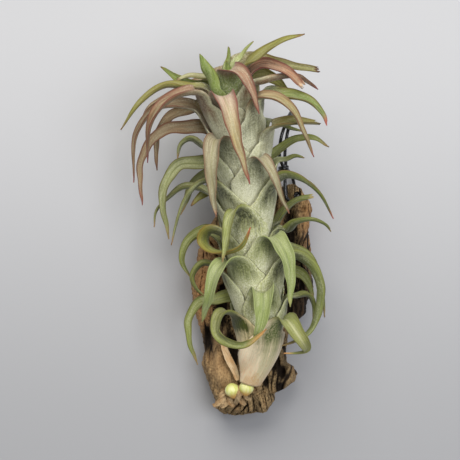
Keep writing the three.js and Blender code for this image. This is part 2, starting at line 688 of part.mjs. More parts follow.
function barkGeometry() {
  const rings = [];
  for (let i = 0; i < BARK_STATIONS; i++) {
    const share = i / (BARK_STATIONS - 1);
    rings.push(barkRing(lerp(BARK_LEFT[0][0], BARK_LEFT[BARK_LEFT.length - 1][0], share)));
  }
  const through = 2 * BARK_THICKNESS + BARK_SIDE_RISE;
  const hole = new THREE.CylinderGeometry(
    WIRE_HOLE_RADIUS,
    WIRE_HOLE_RADIUS,
    through,
    WIRE_HOLE_SIDES,
  );
  hole.rotateX(Math.PI / 2);
  hole.translate(...WIRE_HOLE, BARK_THICKNESS / 2);
  return fromSolid(toSolid(loft(rings)).subtract(toSolid(hole)));
}

function wireGeometry() {
  const section = new THREE.Shape();
  section.absarc(0, 0, WIRE_RADIUS, 0, 2 * Math.PI);
  return new THREE.ExtrudeGeometry(section, {
    steps: WIRE_STEPS,
    curveSegments: WIRE_SIDES / 2,
    extrudePath: toCurve(WIRE_ROUTE),
  });
}

function named(name, geometry, material) {
  const mesh = new THREE.Mesh(geometry, material);
  mesh.name = name;
  return mesh;
}

function finishOf({ rank, fresh = false }) {
  if (fresh || rank >= FIRST_YOUNG_RANK) return finishes.young;
  if (rank >= FIRST_FLUSHED_RANK) return finishes.flushed;
  return rank >= FIRST_SILVER_RANK ? finishes.silver : finishes.green;
}

const plant = new THREE.Group();
plant.add(named("stem", stemGeometry(), finishes.stem));
LEAVES.forEach((leaf, i) => {
  const name = "leaf_" + String(i + 1).padStart(2, "0");
  plant.add(named(name, leafGeometry(leaf), finishOf(leaf)));
});
for (const bud of BUDS) {
  const mesh = named(bud.name, budGeometry(bud), finishes.bud);
  mesh.position.set(...bud.centre);
  mesh.rotation.z = degToRad(bud.lean);
  plant.add(mesh);
}
const dryLeaf = scrapGeometry(DRY_LEAF_ROUTE, DRY_LEAF_HALF_WIDTH, DRY_LEAF_STEPS);
plant.add(named("dry_leaf", dryLeaf, finishes.dry));

const mount = new THREE.Group();
mount.add(named("bark", barkGeometry(), finishes.bark));
mount.add(named("hanging_wire", wireGeometry(), finishes.wire));

const root = new THREE.Group();
root.add(plant, mount);

export default root;
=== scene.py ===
"""A long-stemmed air plant on a piece of bark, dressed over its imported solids.

Shapes are worked out in millimetres, in the frame of the solids, and made in metres.
"""

import logging
import math
from dataclasses import dataclass, field, fields
from enum import Enum

import bpy
import numpy as np
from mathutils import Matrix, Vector


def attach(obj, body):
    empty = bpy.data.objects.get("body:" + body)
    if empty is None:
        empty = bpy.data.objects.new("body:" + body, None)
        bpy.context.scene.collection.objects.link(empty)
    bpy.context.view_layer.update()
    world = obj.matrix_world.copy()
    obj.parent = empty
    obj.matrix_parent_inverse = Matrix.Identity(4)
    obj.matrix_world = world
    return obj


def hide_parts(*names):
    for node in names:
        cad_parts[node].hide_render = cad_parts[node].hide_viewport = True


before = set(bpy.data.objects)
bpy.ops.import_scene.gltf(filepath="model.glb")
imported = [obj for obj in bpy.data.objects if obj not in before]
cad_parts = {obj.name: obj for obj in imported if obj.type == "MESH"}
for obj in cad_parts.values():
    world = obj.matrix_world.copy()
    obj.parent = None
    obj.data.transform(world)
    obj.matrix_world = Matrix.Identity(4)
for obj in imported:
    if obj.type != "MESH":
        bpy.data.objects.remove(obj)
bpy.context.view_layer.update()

LOG = logging.getLogger("air_plant")
MM = 0.001
BODY = "root"
Colour = tuple[int, int, int]
Point = tuple[float, float, float]
Patch = tuple[float, float, float, float, float]
Grid = np.ndarray
Socket = bpy.types.NodeSocket
Wired = Socket | float | tuple
SocketTable = dict[str, tuple[str, float | Colour]]


def smooth(values: Grid, low: float, high: float) -> Grid:
    """Rise from 0 at low to 1 at high along an S curve.

    Args:
        values: What to measure.
        low: Where the rise begins.
        high: Where the rise ends.

    Returns:
        Shares from 0 to 1.
    """
    share = np.clip((values - low) / (high - low), 0.0, 1.0)
    return share * share * (3.0 - 2.0 * share)


def mix(first: Grid, second: Grid, share: Grid) -> Grid:
    """Return what lies between two values at a share of the way."""
    return first + (second - first) * share


def bump(values: Grid, centre: float, spread: float) -> Grid:
    """Return a soft bump of height 1 round a centre."""
    return np.exp(-(((values - centre) / spread) ** 2))


def unit(vectors: Grid) -> Grid:
    """Return the vectors scaled to length 1."""
    return vectors / np.maximum(np.linalg.norm(vectors, axis=-1, keepdims=True), 1e-9)


def patches(x: Grid, y: Grid, table: tuple[Patch, ...]) -> Grid:
    """Add up soft patches over a surface.

    Args:
        x: Places across the surface.
        y: Places along it.
        table: Where each patch lies across and along, how far it spreads across and
            along, and how strong it is.

    Returns:
        The sum of the patches at each place.
    """
    return sum(
        strength * bump(x, at_x, wide) * bump(y, at_y, long)
        for at_x, at_y, wide, long, strength in table
    )


def both_ways(front: Grid, back: Grid) -> Grid:
    """Return rows that run over a front and then back again behind it."""
    return np.concatenate([front, back[:, ::-1]], axis=1)


def sheet_rings(middle: Grid, facing: Grid, half_thickness: Grid) -> Grid:
    """Return the rings of a sheet, given its thickness on both sides of its middle."""
    return both_ways(middle + facing * half_thickness, middle - facing * half_thickness)


@dataclass
class Unevenness:
    """Smooth, seeded noise over a plane, between about -1 and 1."""

    seed: int
    cells: int = 256
    gain: float = 1.5
    order: Grid = field(init=False)

    def __post_init__(self) -> None:
        """Shuffle the table that the noise is drawn from."""
        self.order = np.random.default_rng(self.seed).permutation(self.cells)

    def at(self, x: Grid, y: Grid) -> Grid:
        """Read the noise.

        Args:
            x: First coordinates, one unit to a lump.
            y: Second coordinates.

        Returns:
            Noise at each place.
        """
        x, y = np.broadcast_arrays(np.asarray(x, float), np.asarray(y, float))
        left, low = np.floor(x).astype(int), np.floor(y).astype(int)
        in_x, in_y = x - left, y - low

        def corner(right: int, up: int) -> Grid:
            """Work out what one corner of each cell adds.

            Args:
                right: 1 for the corners at the right, or 0.
                up: 1 for the upper corners, or 0.

            Returns:
                What it adds at each place.
            """
            drawn = self.order[(self.order[(left + right) % self.cells] + low + up) % self.cells]
            angle = drawn * (2.0 * math.pi / self.cells)
            return np.cos(angle) * (in_x - right) + np.sin(angle) * (in_y - up)

        ease_x, ease_y = smooth(in_x, 0.0, 1.0), smooth(in_y, 0.0, 1.0)
        lower = mix(corner(0, 0), corner(1, 0), ease_x)
        upper = mix(corner(0, 1), corner(1, 1), ease_x)
        return self.gain * mix(lower, upper, ease_y)


@dataclass(frozen=True)
class Spline:
    """A smooth curve through points, which never overshoots between close ones."""

    points: tuple[Point, ...]

    def at(self, shares: Grid) -> Grid:
        """Find places on the curve.

        Args:
            shares: From 0 at the first point to 1 at the last, even from point to point.

        Returns:
            One place for each share.
        """
        known = np.array(self.points, float)
        known = np.vstack([2 * known[0] - known[1], known, 2 * known[-1] - known[-2]])
        spans = len(self.points) - 1
        place = np.clip(shares, 0.0, 1.0) * spans
        index = np.minimum(place.astype(int), spans - 1)
        share = (place - index)[:, None]
        before, start, end, after = (known[index + k] for k in range(4))

        def root(a: Grid, b: Grid) -> Grid:
            """Return the square root of the distance between points."""
            return np.sqrt(np.maximum(np.linalg.norm(b - a, axis=1), 1e-6))[:, None]

        d0, d1, d2 = root(before, start), root(start, end), root(end, after)
        leave = (start - before) / d0 - (end - before) / (d0 + d1) + (end - start) / d1
        reach = (end - start) / d1 - (after - start) / (d1 + d2) + (after - end) / d2
        leave, reach = leave * d1, reach * d1
        square = 3 * (end - start) - 2 * leave - reach
        cube = 2 * (start - end) + leave + reach
        return start + leave * share + square * share**2 + cube * share**3


def lengths_along(points: Grid) -> Grid:
    """Return the distance along a row of points, from 0 at the first."""
    steps = np.linalg.norm(np.diff(points, axis=0), axis=1)
    return np.concatenate([[0.0], np.cumsum(steps)])


def read_at(wanted: Grid, known: Grid, values: Grid) -> Grid:
    """Return each column of values read at the wanted distances."""
    return np.stack([np.interp(wanted, known, column) for column in values.T], axis=-1)


def skin_faces(count: int, size: int) -> Grid:
    """Join rings of points into the faces of a closed skin.

    Args:
        count: Number of rings.
        size: Points in each ring, of which the second half runs back behind the first.

    Returns:
        Rows of point numbers: the faces between rings, ring by ring, then both ends.
    """
    i, j = np.meshgrid(np.arange(count - 1), np.arange(size), indexing="ij")
    a, b = i * size + j, i * size + (j + 1) % size
    sides = np.stack([a, b, b + size, a + size], axis=-1).reshape(-1, 4)
    k = np.arange(size // 2 - 1)
    back = size - 1 - k
    last = (count - 1) * size
    first_end = np.stack([k, back, back - 1, k + 1], axis=-1)
    last_end = last + np.stack([k, k + 1, back - 1, back], axis=-1)
    return np.concatenate([sides, first_end, last_end])


def skin(name: str, rings: Grid, marks: dict[str, Grid]) -> bpy.types.Object:
    """Join rings of points into one closed, smooth-shaded skin.

    Args:
        name: Name of the new piece.
        rings: Points in millimetres, as ring, place in the ring, axis. The second half
            of each ring runs back behind the first half.
        marks: Vectors for the material, one for each point, by name.

    Returns:
        The piece, linked to the scene.
    """
    return mesh_piece(name, rings.reshape(-1, 3), skin_faces(*rings.shape[:2]), marks)


def mesh_piece(name: str, points: Grid, faces: Grid, marks: dict[str, Grid]) -> bpy.types.Object:
    """Make a smooth-shaded piece from points and four-sided faces.

    Args:
        name: Name of the new piece.
        points: Points in millimetres.
        faces: Rows of point numbers.
        marks: Vectors for the material, one for each point, by name.

    Returns:
        The piece, linked to the scene.
    """
    mesh = bpy.data.meshes.new(name)
    mesh.from_pydata((points * MM).tolist(), [], faces.tolist())
    for mark, values in marks.items():
        layer = mesh.attributes.new(mark, "FLOAT_VECTOR", "POINT")
        layer.data.foreach_set("vector", values.reshape(-1).astype(np.float32))
    mesh.polygons.foreach_set("use_smooth", np.ones(len(mesh.polygons), bool))
    mesh.update()
    piece = bpy.data.objects.new(name, mesh)
    bpy.context.scene.collection.objects.link(piece)
    return piece


# A direction that no tube here sets out in
TUBE_SIDE = (0.3, 0.5, 0.8)


def tube_rings(points: Grid, radii: Grid, sides: int) -> Grid:
    """Lay circles along a row of points, with no twist from one to the next.

    Args:
        points: Centres.
        radii: One radius for each centre.
        sides: Points in each circle.

    Returns:
        Rings for a skin.
    """
    ways = unit(np.gradient(points, axis=0))
    normal = np.cross(ways[0], TUBE_SIDE)
    rings = []
    angles = 2.0 * math.pi * np.arange(sides) / sides
    for point, way, radius in zip(points, ways, radii):
        normal = unit(normal - way * normal.dot(way))
        side = np.cross(way, normal)
        circle = np.outer(np.cos(angles), normal) + np.outer(np.sin(angles), side)
        rings.append(point + radius * circle)
    return np.array(rings)


def linear(colour: Colour) -> tuple[float, float, float, float]:
    """Bring a colour to the scale that shaders work in, by the curve of a usual screen.

    Args:
        colour: Red, green and blue from 0 to 255.

    Returns:
        The shares of light, and full cover.
    """
    shares = [value / 255.0 for value in colour]
    parts = [s / 12.92 if s <= 0.04045 else ((s + 0.055) / 1.055) ** 2.4 for s in shares]
    return (*parts, 1.0)


@dataclass(frozen=True)
class Grain:
    """Noise that is drawn out along a surface: lumps to a millimetre each way."""

    across: float
    along: float
    shift: float
    detail: float


@dataclass
class Graph:
    """Adds nodes to a shader tree and joins them."""

    tree: bpy.types.NodeTree
    spacing: tuple[int, int] = (190, 220)
    row_length: int = 12
    colour_inputs: tuple[int, int, int] = (0, 6, 7)
    colour_output: int = 2

    def node(self, kind: str, **settings: object) -> bpy.types.Node:
        """Add a node and set its properties.

        Args:
            kind: Its type.
            settings: Its properties by name.

        Returns:
            The node.
        """
        made = self.tree.nodes.new(kind)
        row, column = divmod(len(self.tree.nodes), self.row_length)
        made.location = (self.spacing[0] * column, -self.spacing[1] * row)
        for key, value in settings.items():
            setattr(made, key, value)
        return made

    def put(self, socket: Socket, value: Wired) -> None:
        """Feed a socket from another socket, or set it.

        Args:
            socket: The socket to feed.
            value: Another socket, or a number, vector or colour.
        """
        if isinstance(value, Socket):
            self.tree.links.new(value, socket)
        else:
            socket.default_value = value

    def math(self, operation: str, *values: Wired, clamp: bool = False) -> Socket:
        """Add a sum, a product or another operation.

        Args:
            operation: Its name.
            values: What it works on.
            clamp: Whether its result is kept between 0 and 1.

        Returns:
            Its result.
        """
        made = self.node("ShaderNodeMath", operation=operation, use_clamp=clamp)
        for socket, value in zip(made.inputs, values):
            self.put(socket, value)
        return made.outputs[0]

    def times(self, first: Wired, *others: Wired) -> Socket:
        """Multiply values.

        Args:
            first: The first value.
            others: One or more values that it is multiplied by in turn.

        Returns:
            Their product.
        """
        for other in others:
            first = self.math("MULTIPLY", first, other)
        return first

    def scaled(self, value: Wired, factor: Wired, added: Wired) -> Socket:
        """Return a value multiplied by a factor, with another added to it."""
        return self.math("MULTIPLY_ADD", value, factor, added)

    def rise(self, value: Wired, low: Wired, high: Wired, top: float = 1.0) -> Socket:
        """Rise from 0 at low to top at high, along an S curve.

        Args:
            value: What to measure.
            low: Where the rise begins.
            high: Where the rise ends.
            top: How far it rises.

        Returns:
            The risen value.
        """
        made = self.node("ShaderNodeMapRange", interpolation_type="SMOOTHSTEP")
        for key, fed in (("Value", value), ("From Min", low), ("From Max", high), ("To Max", top)):
            self.put(made.inputs[key], fed)
        return made.outputs[0]

    def mix(self, share: Wired, first: Wired, second: Wired, way: str = "MIX") -> Socket:
        """Lay one colour over another.

        Args:
            share: How much of the second one covers the first.
            first: The colour below.
            second: The colour above.
            way: How it is laid.

        Returns:
            The colour.
        """
        made = self.node("ShaderNodeMix", data_type="RGBA", blend_type=way)
        for number, fed in zip(self.colour_inputs, (share, first, second)):
            self.put(made.inputs[number], fed)
        return made.outputs[self.colour_output]

    def noise(self, place: Wired, detail: float) -> Socket:
        """Add soft noise.

        Args:
            place: Where to read it, one unit to a lump.
            detail: How many finer layers it has.

        Returns:
            Noise from about 0.25 to 0.75.
        """
        made = self.node("ShaderNodeTexNoise")
        self.put(made.inputs["Vector"], place)
        made.inputs["Scale"].default_value = 1.0
        made.inputs["Detail"].default_value = detail
        return made.outputs[0]

    def grain(self, place: tuple[Socket, ...], grain: Grain, deep: float) -> Socket:
        """Add noise that is drawn out along a surface.

        Args:
            place: Places across and along the surface, and a depth or a seed.
            grain: How it is drawn out.
            deep: Lumps to a unit of the depth or seed.

        Returns:
            Noise from about 0.25 to 0.75.
        """
        across, along, out = place
        spot = (
            self.times(across, grain.across),
            self.times(along, grain.along),
            self.scaled(out, deep, grain.shift),
        )
        return self.noise(self.place(*spot), grain.detail)

    def mark(self, name: str) -> tuple[Socket, ...]:
        """Read what a mesh carries under a name.

        Args:
            name: Name of the mark.

        Returns:
            Its three numbers.
        """
        made = self.node("ShaderNodeAttribute", attribute_type="GEOMETRY", attribute_name=name)
        parts = self.node("ShaderNodeSeparateXYZ")
        self.put(parts.inputs[0], made.outputs["Vector"])
        return tuple(parts.outputs)

    def place(self, x: Wired, y: Wired, z: Wired) -> Socket:
        """Join three numbers into a vector.

        Args:
            x: The first number.
            y: The second number.
            z: The third number.

        Returns:
            The vector.
        """
        made = self.node("ShaderNodeCombineXYZ")
        for socket, value in zip(made.inputs, (x, y, z)):
            self.put(socket, value)
        return made.outputs[0]


@dataclass
class Effect:
    """A shader node group with named inputs and outputs."""

    name: str
    inputs: SocketTable
    outputs: dict[str, str]

    def start(self) -> tuple[bpy.types.NodeTree, Graph, bpy.types.Node, bpy.types.Node]:
        """Make the group's sockets.

        Returns:
            The group, its graph, its input node and its output node.
        """
        tree = bpy.data.node_groups.new(self.name, "ShaderNodeTree")
        for name, (kind, value) in self.inputs.items():
            socket = tree.interface.new_socket(
                name=name, in_out="INPUT", socket_type="NodeSocket" + kind
            )
            socket.default_value = linear(value) if kind == "Color" else value
        for name, kind in self.outputs.items():
            tree.interface.new_socket(name=name, in_out="OUTPUT", socket_type="NodeSocket" + kind)
        graph = Graph(tree)
        return tree, graph, graph.node("NodeGroupInput"), graph.node("NodeGroupOutput")


class LeafGrain(Enum):
    """The textures of a leaf: long streaks, fine lines, flecks, dots and wide patches."""

    STREAK = Grain(0.8, 0.10, 1.0, 3.0)
    FINE = Grain(3.2, 0.12, 5.0, 2.0)
    FLECK = Grain(1.3, 0.85, 9.0, 3.0)
    DOT = Grain(1.9, 1.7, 13.0, 1.0)
    PATCHY = Grain(0.22, 0.09, 17.0, 2.0)


@dataclass
class LeafSkin:
    """The living skin that all leaves share, built as one node group.

    It reads the marks that each leaf's mesh carries. Its distances run along the leaf from
    the neck, in millimetres, and are negative on the sheath. Its shares run from 0 at the
    midline to 1 at the edge, and from 0 at the neck to 1 at the tip.
    """

    unset: Colour = (128, 128, 128)
    scales: Colour = (236, 236, 208)
    bloom: Colour = (210, 210, 180)
    edge_shadow: Colour = (50, 50, 28)
    pale_line: tuple[float, ...] = (1.0, 1.0, 0.82, 1.0)
    dark_line: tuple[float, ...] = (0.12, 0.12, 0.06, 1.0)
    seed_step: float = 3.7

    def __post_init__(self) -> None:
        """Start the group, and read the marks, textures and masks that its layers share."""
        outputs = {"Color": "Color", "Roughness": "Float", "Height": "Float"}
        self.tree, g, given, self.result = Effect("Leaf skin", self.inputs(), outputs).start()
        self.g, self.given = g, given.outputs
        place = g.mark("leaf_place")
        across, self.blade_share, self.inner = g.mark("leaf_share")
        self.past_neck = place[1]
        self.edge = g.math("ABSOLUTE", across)
        self.streak, self.fine, self.fleck, self.dot, self.patchy = (
            g.grain(place, grain.value, self.seed_step) for grain in LeafGrain
        )
        self.in_blade = g.rise(self.past_neck, 0.0, self.given["Blade Start"])
        self.in_sheath = g.math("SUBTRACT", 1.0, self.in_blade)
        self.fleck_mask = g.rise(self.fleck, 0.40, 0.60)
        self.dot_mask = g.rise(self.dot, 0.42, 0.58)

    def inputs(self) -> SocketTable:
        """List the sockets that each kind of leaf sets.

        Returns:
            The kind and the first value of each socket, by name.
        """
        colours = ("Sheath", "Foot", "Bend", "Under", "Blade", "Far", "Tip", "Margin", "Midline")
        return {
            **{name: ("Color", self.unset) for name in colours},
            "Scales": ("Color", self.scales),
            "Sheath Scales": ("Float", 0.6),
            "Blade Scales": ("Float", 0.25),
            "Bend Depth": ("Float", 0.9),
            "Tip Start": ("Float", 0.85),
            "Lines": ("Float", 0.3),
            "Blush": ("Float", 0.2),
            "Bloom": ("Color", self.bloom),
            "Withering": ("Float", 0.0),
            "Blade Start": ("Float", 7.0),
            "Green Strip": ("Float", 0.0),
        }

    def bend(self) -> Socket:
        """Mask the dark bend, with fingers that run down from it over the sheath: partly the
        leaf's own dark green and partly painted shade under the arch.

        Returns:
            The mask.
        """
        g, past = self.g, self.past_neck
        finger = g.scaled(self.streak, 10.0, -5.0)
        finger = g.scaled(self.fleck, 9.0, g.math("SUBTRACT", finger, 4.5))
        return g.times(
            g.rise(g.math("ADD", past, finger), -12.0, -2.5),
            g.rise(past, 18.0, 6.0),
            g.rise(self.edge, 1.0, 0.4),
            self.given["Bend Depth"],
        )

    def ground(self, bend: Socket) -> Socket:
        """Lay the colours of sheath, bend and blade.

        Args:
            bend: The mask of the bend.

        Returns:
            The colour.
        """
        g, given, past = self.g, self.given, self.past_neck
        outside = g.mix(g.rise(past, -6.0, -26.0), given["Sheath"], given["Foot"])
        outside = g.mix(g.rise(self.patchy, 0.45, 0.72, 0.22), outside, given["Bend"])
        strip = g.times(
            g.rise(self.edge, 0.5, 0.12), g.rise(past, -33.0, -16.0), g.rise(self.streak, 0.3, 0.5)
        )
        outside = g.mix(g.times(strip, given["Green Strip"]), outside, given["Blade"])
        withered = g.times(g.rise(past, -10.0, -24.0), g.rise(self.patchy, 0.40, 0.56))
        outside = g.mix(g.times(withered, given["Withering"]), outside, given["Tip"])
        # Outside, a blade is darkest along its keel, its own green under painted shade on the side
        # turned from the light, and as pale as its inside at its edges
        keeled = g.mix(g.rise(self.edge, 0.2, 0.85), given["Under"], given["Far"])
        outside = g.mix(self.in_blade, outside, keeled)
        # Under the arch the bend is laid in dark green, partly the leaf's own colour and partly
        # painted shade
        flecked = g.times(bend, g.scaled(self.fleck_mask, -0.3, 1.0))
        outside = g.mix(flecked, outside, given["Bend"])
        inside = g.mix(g.rise(self.blade_share, 0.05, 0.6), given["Blade"], given["Far"])
        return g.mix(self.inner, outside, inside)

    def lined(self, base: Socket) -> Socket:
        """Draw the lengthwise lines, the blush of the edges and the midline.

        Args:
            base: The colour so far.

        Returns:
            The colour.
        """
        g, given = self.g, self.given
        lines = g.times(given["Lines"], g.rise(self.fine, 0.35, 0.66))
        base = g.mix(lines, base, self.pale_line, "SOFT_LIGHT")
        dark_lines = g.times(given["Lines"], g.rise(self.fine, 0.52, 0.30))
        base = g.mix(dark_lines, base, self.dark_line, "SOFT_LIGHT")
        blush = g.times(
            g.rise(self.edge, 0.30, 0.95), self.in_blade, g.scaled(self.streak, 0.8, 0.6)
        )
        base = g.mix(g.times(blush, given["Blush"]), base, given["Margin"])
        keel = g.times(g.rise(self.edge, 0.20, 0.0, 0.5), self.in_blade)
        keel = g.times(keel, g.times(self.inner, g.rise(self.blade_share, 0.9, 0.5)))
        return g.mix(keel, base, given["Midline"])

    def scaly(self, base: Socket, bend: Socket) -> tuple[Socket, Socket]:
        """Lay the silvery scales, closest low on the sheath and thin over the bend.

        Args:
            base: The colour so far.
            bend: The mask of the bend.

        Returns:
            The colour, and how much of it the scales cover.
        """
        g, given = self.g, self.given
        mottle = g.times(
            g.scaled(self.fleck_mask, 0.6, 0.5),
            g.scaled(self.dot_mask, 0.9, 0.52),
            g.scaled(g.rise(self.past_neck, -2.0, -17.0), 0.7, 0.55),
            given["Sheath Scales"],
            g.scaled(bend, -0.8, 1.0),
            self.in_sheath,
        )
        bloom = g.times(
            g.scaled(g.rise(self.streak, 0.36, 0.66), 0.8, 0.2),
            g.scaled(self.dot_mask, 0.8, 0.6),
            given["Blade Scales"],
            self.in_blade,
            g.rise(self.edge, 1.0, 0.55),
        )
        base = g.mix(g.math("MINIMUM", mottle, 1.0), base, given["Scales"])
        base = g.mix(g.math("MINIMUM", bloom, 1.0), base, given["Bloom"])
        return base, g.math("ADD", mottle, bloom, clamp=True)

    def worn(self, base: Socket) -> Socket:
        """Paint shade along the sheath's edges, draw the blade's margin and dry its tip.

        Args:
            base: The colour so far.

        Returns:
            The colour.
        """
        g, given, share = self.g, self.given, self.blade_share
        # Painted shade: a thin dark line along each sheath's edge, where it stands over the next
        # one
        shade = g.times(
            g.rise(self.edge, 0.95, 0.99, 0.8), self.in_sheath, g.rise(self.patchy, 0.35, 0.62)
        )
        base = g.mix(shade, base, linear(self.edge_shadow))
        margin = g.times(
            g.rise(self.edge, 0.88, 0.99), g.rise(share, 0.95, 0.6, 0.75), self.in_blade
        )
        base = g.mix(margin, base, given["Margin"])
        ragged = g.math("ADD", share, g.scaled(self.streak, 0.22, -0.11))
        return g.mix(g.rise(ragged, given["Tip Start"], 1.02), base, given["Tip"])

    def build(self) -> bpy.types.NodeTree:
        """Lay all the layers.

        Returns:
            The node group.
        """
        g, results = self.g, self.result.inputs
        bend = self.bend()
        base, cover = self.scaly(self.lined(self.ground(bend)), bend)
        g.put(results["Color"], self.worn(base))
        g.put(results["Roughness"], g.scaled(cover, 0.25, 0.5))
        height = g.scaled(self.fine, 0.9, g.times(self.fleck_mask, 0.25))
        g.put(results["Height"], g.scaled(self.dot_mask, 0.2, height))
        return self.tree


class FibreGrain(Enum):
    """The textures of dead plant matter: fibres, hairs, wide blotches and grit."""

    FIBRE = Grain(1.9, 0.16, 0.0, 4.0)
    HAIR = Grain(5.0, 0.5, 4.0, 2.0)
    BLOTCH = Grain(0.22, 0.12, 8.0, 3.0)
    GRIT = Grain(1.3, 1.0, 12.0, 4.0)


@dataclass
class DeadFibres:
    """The fibrous grain of bark, wood and dry leaves, built as one node group.

    Its place runs across the fibres, along them and out of the surface, in millimetres.
    """

    pale: Colour = (170, 150, 125)
    dark: Colour = (70, 55, 42)
    warm: Colour = (150, 105, 75)
    middle: float = 0.5
    pale_from: float = 0.09
    softness: float = 0.05
    contrast_span: float = 0.2

    def build(self) -> bpy.types.NodeTree:
        """Build the node group.

        Returns:
            The node group, which puts out a colour and a height.
        """
        inputs: SocketTable = {
            "Place": ("Vector", (0.0, 0.0, 0.0)),
            "Pale": ("Color", self.pale),
            "Dark": ("Color", self.dark),
            "Warm": ("Color", self.warm),
            "Warmth": ("Float", 0.3),
            "Contrast": ("Float", 0.5),
            "Grit": ("Float", 0.5),
        }
        effect = Effect("Dead fibres", inputs, {"Color": "Color", "Height": "Float"})
        tree, g, node, result = effect.start()
        given = node.outputs
        parts = g.node("ShaderNodeSeparateXYZ")
        g.put(parts.inputs[0], given["Place"])
        fibre, hair, blotch, grit = (
            g.grain(tuple(parts.outputs), grain.value, grain.value.across) for grain in FibreGrain
        )
        tone = g.scaled(hair, 0.35, g.times(fibre, 0.65))
        tone = g.scaled(grit, given["Grit"], g.times(tone, g.math("SUBTRACT", 1.0, given["Grit"])))
        dark_to = g.math("SUBTRACT", self.middle, g.times(given["Contrast"], self.contrast_span))
        dark_to = g.math("SUBTRACT", dark_to, self.softness)
        mask = g.rise(tone, dark_to, self.middle + self.pale_from)
        colour = g.mix(mask, given["Dark"], given["Pale"])
        colour = g.mix(g.times(g.rise(blotch, 0.42, 0.66), given["Warmth"]), colour, given["Warm"])
        colour = g.mix(g.rise(blotch, 0.46, 0.3, 0.45), colour, given["Dark"])
        g.put(result.inputs["Color"], colour)
        height = g.scaled(fibre, 0.6, g.times(hair, 0.25))
        g.put(result.inputs["Height"], g.scaled(grit, 0.3, height))
        return tree


@dataclass
class Effects:
    """The shader node groups, each built once."""

    leaf_skin: bpy.types.NodeTree = field(default_factory=lambda: LeafSkin().build())
    fibres: bpy.types.NodeTree = field(default_factory=lambda: DeadFibres().build())


def shader_of(name: str) -> tuple[bpy.types.Material, Graph, bpy.types.Node]:
    """Start a material.

    Args:
        name: Name of the material.

    Returns:
        The material, its graph and its main shader.
    """
    material = bpy.data.materials.new(name)
    material.use_nodes = True
    shader = material.node_tree.nodes["Principled BSDF"]
    return material, Graph(material.node_tree), shader


def feel(g: Graph, shader: bpy.types.Node, height: Wired, deep_mm: float, strength: float) -> None:
    """Raise a surface by a height map.

    Args:
        g: The material's graph.
        shader: The material's main shader.
        height: Heights from 0 to 1.
        deep_mm: How deep the relief is.
        strength: How much of it shows.
    """
    made = g.node("ShaderNodeBump")
    for key, value in (("Strength", strength), ("Distance", deep_mm * MM), ("Height", height)):
        g.put(made.inputs[key], value)
    g.put(shader.inputs["Normal"], made.outputs[0])


def fill(g: Graph, group: bpy.types.Node, finish: object) -> None:
    """Set a node group's inputs from the fields of a finish that bear their names.

    Args:
        g: The material's graph.
        group: The node group in it.
        finish: The finish, whose colours are tuples and whose amounts are numbers.
    """
    for item in fields(finish):
        value, name = getattr(finish, item.name), item.name.replace("_", " ").title()
        if name in group.inputs:
            g.put(group.inputs[name], linear(value) if isinstance(value, tuple) else value)


@dataclass(frozen=True)
class LeafFinish:
    """The colours of one kind of leaf, as they look in soft light."""

    name: str
    sheath: Colour = (172, 176, 118)
    foot: Colour = (206, 206, 164)
    bend: Colour = (50, 54, 22)
    # The outer face along the keel: the leaf's own green darkened by painted shade
    under: Colour = (88, 97, 42)
    blade: Colour = (130, 136, 76)
    far: Colour = (116, 124, 58)
    tip: Colour = (160, 130, 84)
    margin: Colour = (104, 102, 54)
    midline: Colour = (98, 103, 52)
    sheath_scales: float = 0.75
    blade_scales: float = 0.2
    # How dark the bend is laid: partly its own dark green, partly painted shade under the arch
    bend_depth: float = 1.0
    tip_start: float = 0.84
    lines: float = 0.45
    blush: float = 0.15
    withering: float = 0.0
    blade_start: float = 7.0
    green_strip: float = 0.0
    specular: float = 0.3
    sheen: float = 0.12
    sheen_roughness: float = 0.5
    relief_mm: float = 0.3
    relief_strength: float = 0.6

    def build(self, effects: Effects) -> bpy.types.Material:
        """Build the material.

        Args:
            effects: The shared node groups.

        Returns:
            The material.
        """
        material, g, shader = shader_of("leaf_" + self.name)
        living = g.node("ShaderNodeGroup", node_tree=effects.leaf_skin)
        fill(g, living, self)
        g.put(shader.inputs["Base Color"], living.outputs["Color"])
        g.put(shader.inputs["Roughness"], living.outputs["Roughness"])
        g.put(shader.inputs["Specular IOR Level"], self.specular)
        g.put(shader.inputs["Sheen Weight"], self.sheen)
        g.put(shader.inputs["Sheen Roughness"], self.sheen_roughness)
        feel(g, shader, living.outputs["Height"], self.relief_mm, self.relief_strength)
        return material


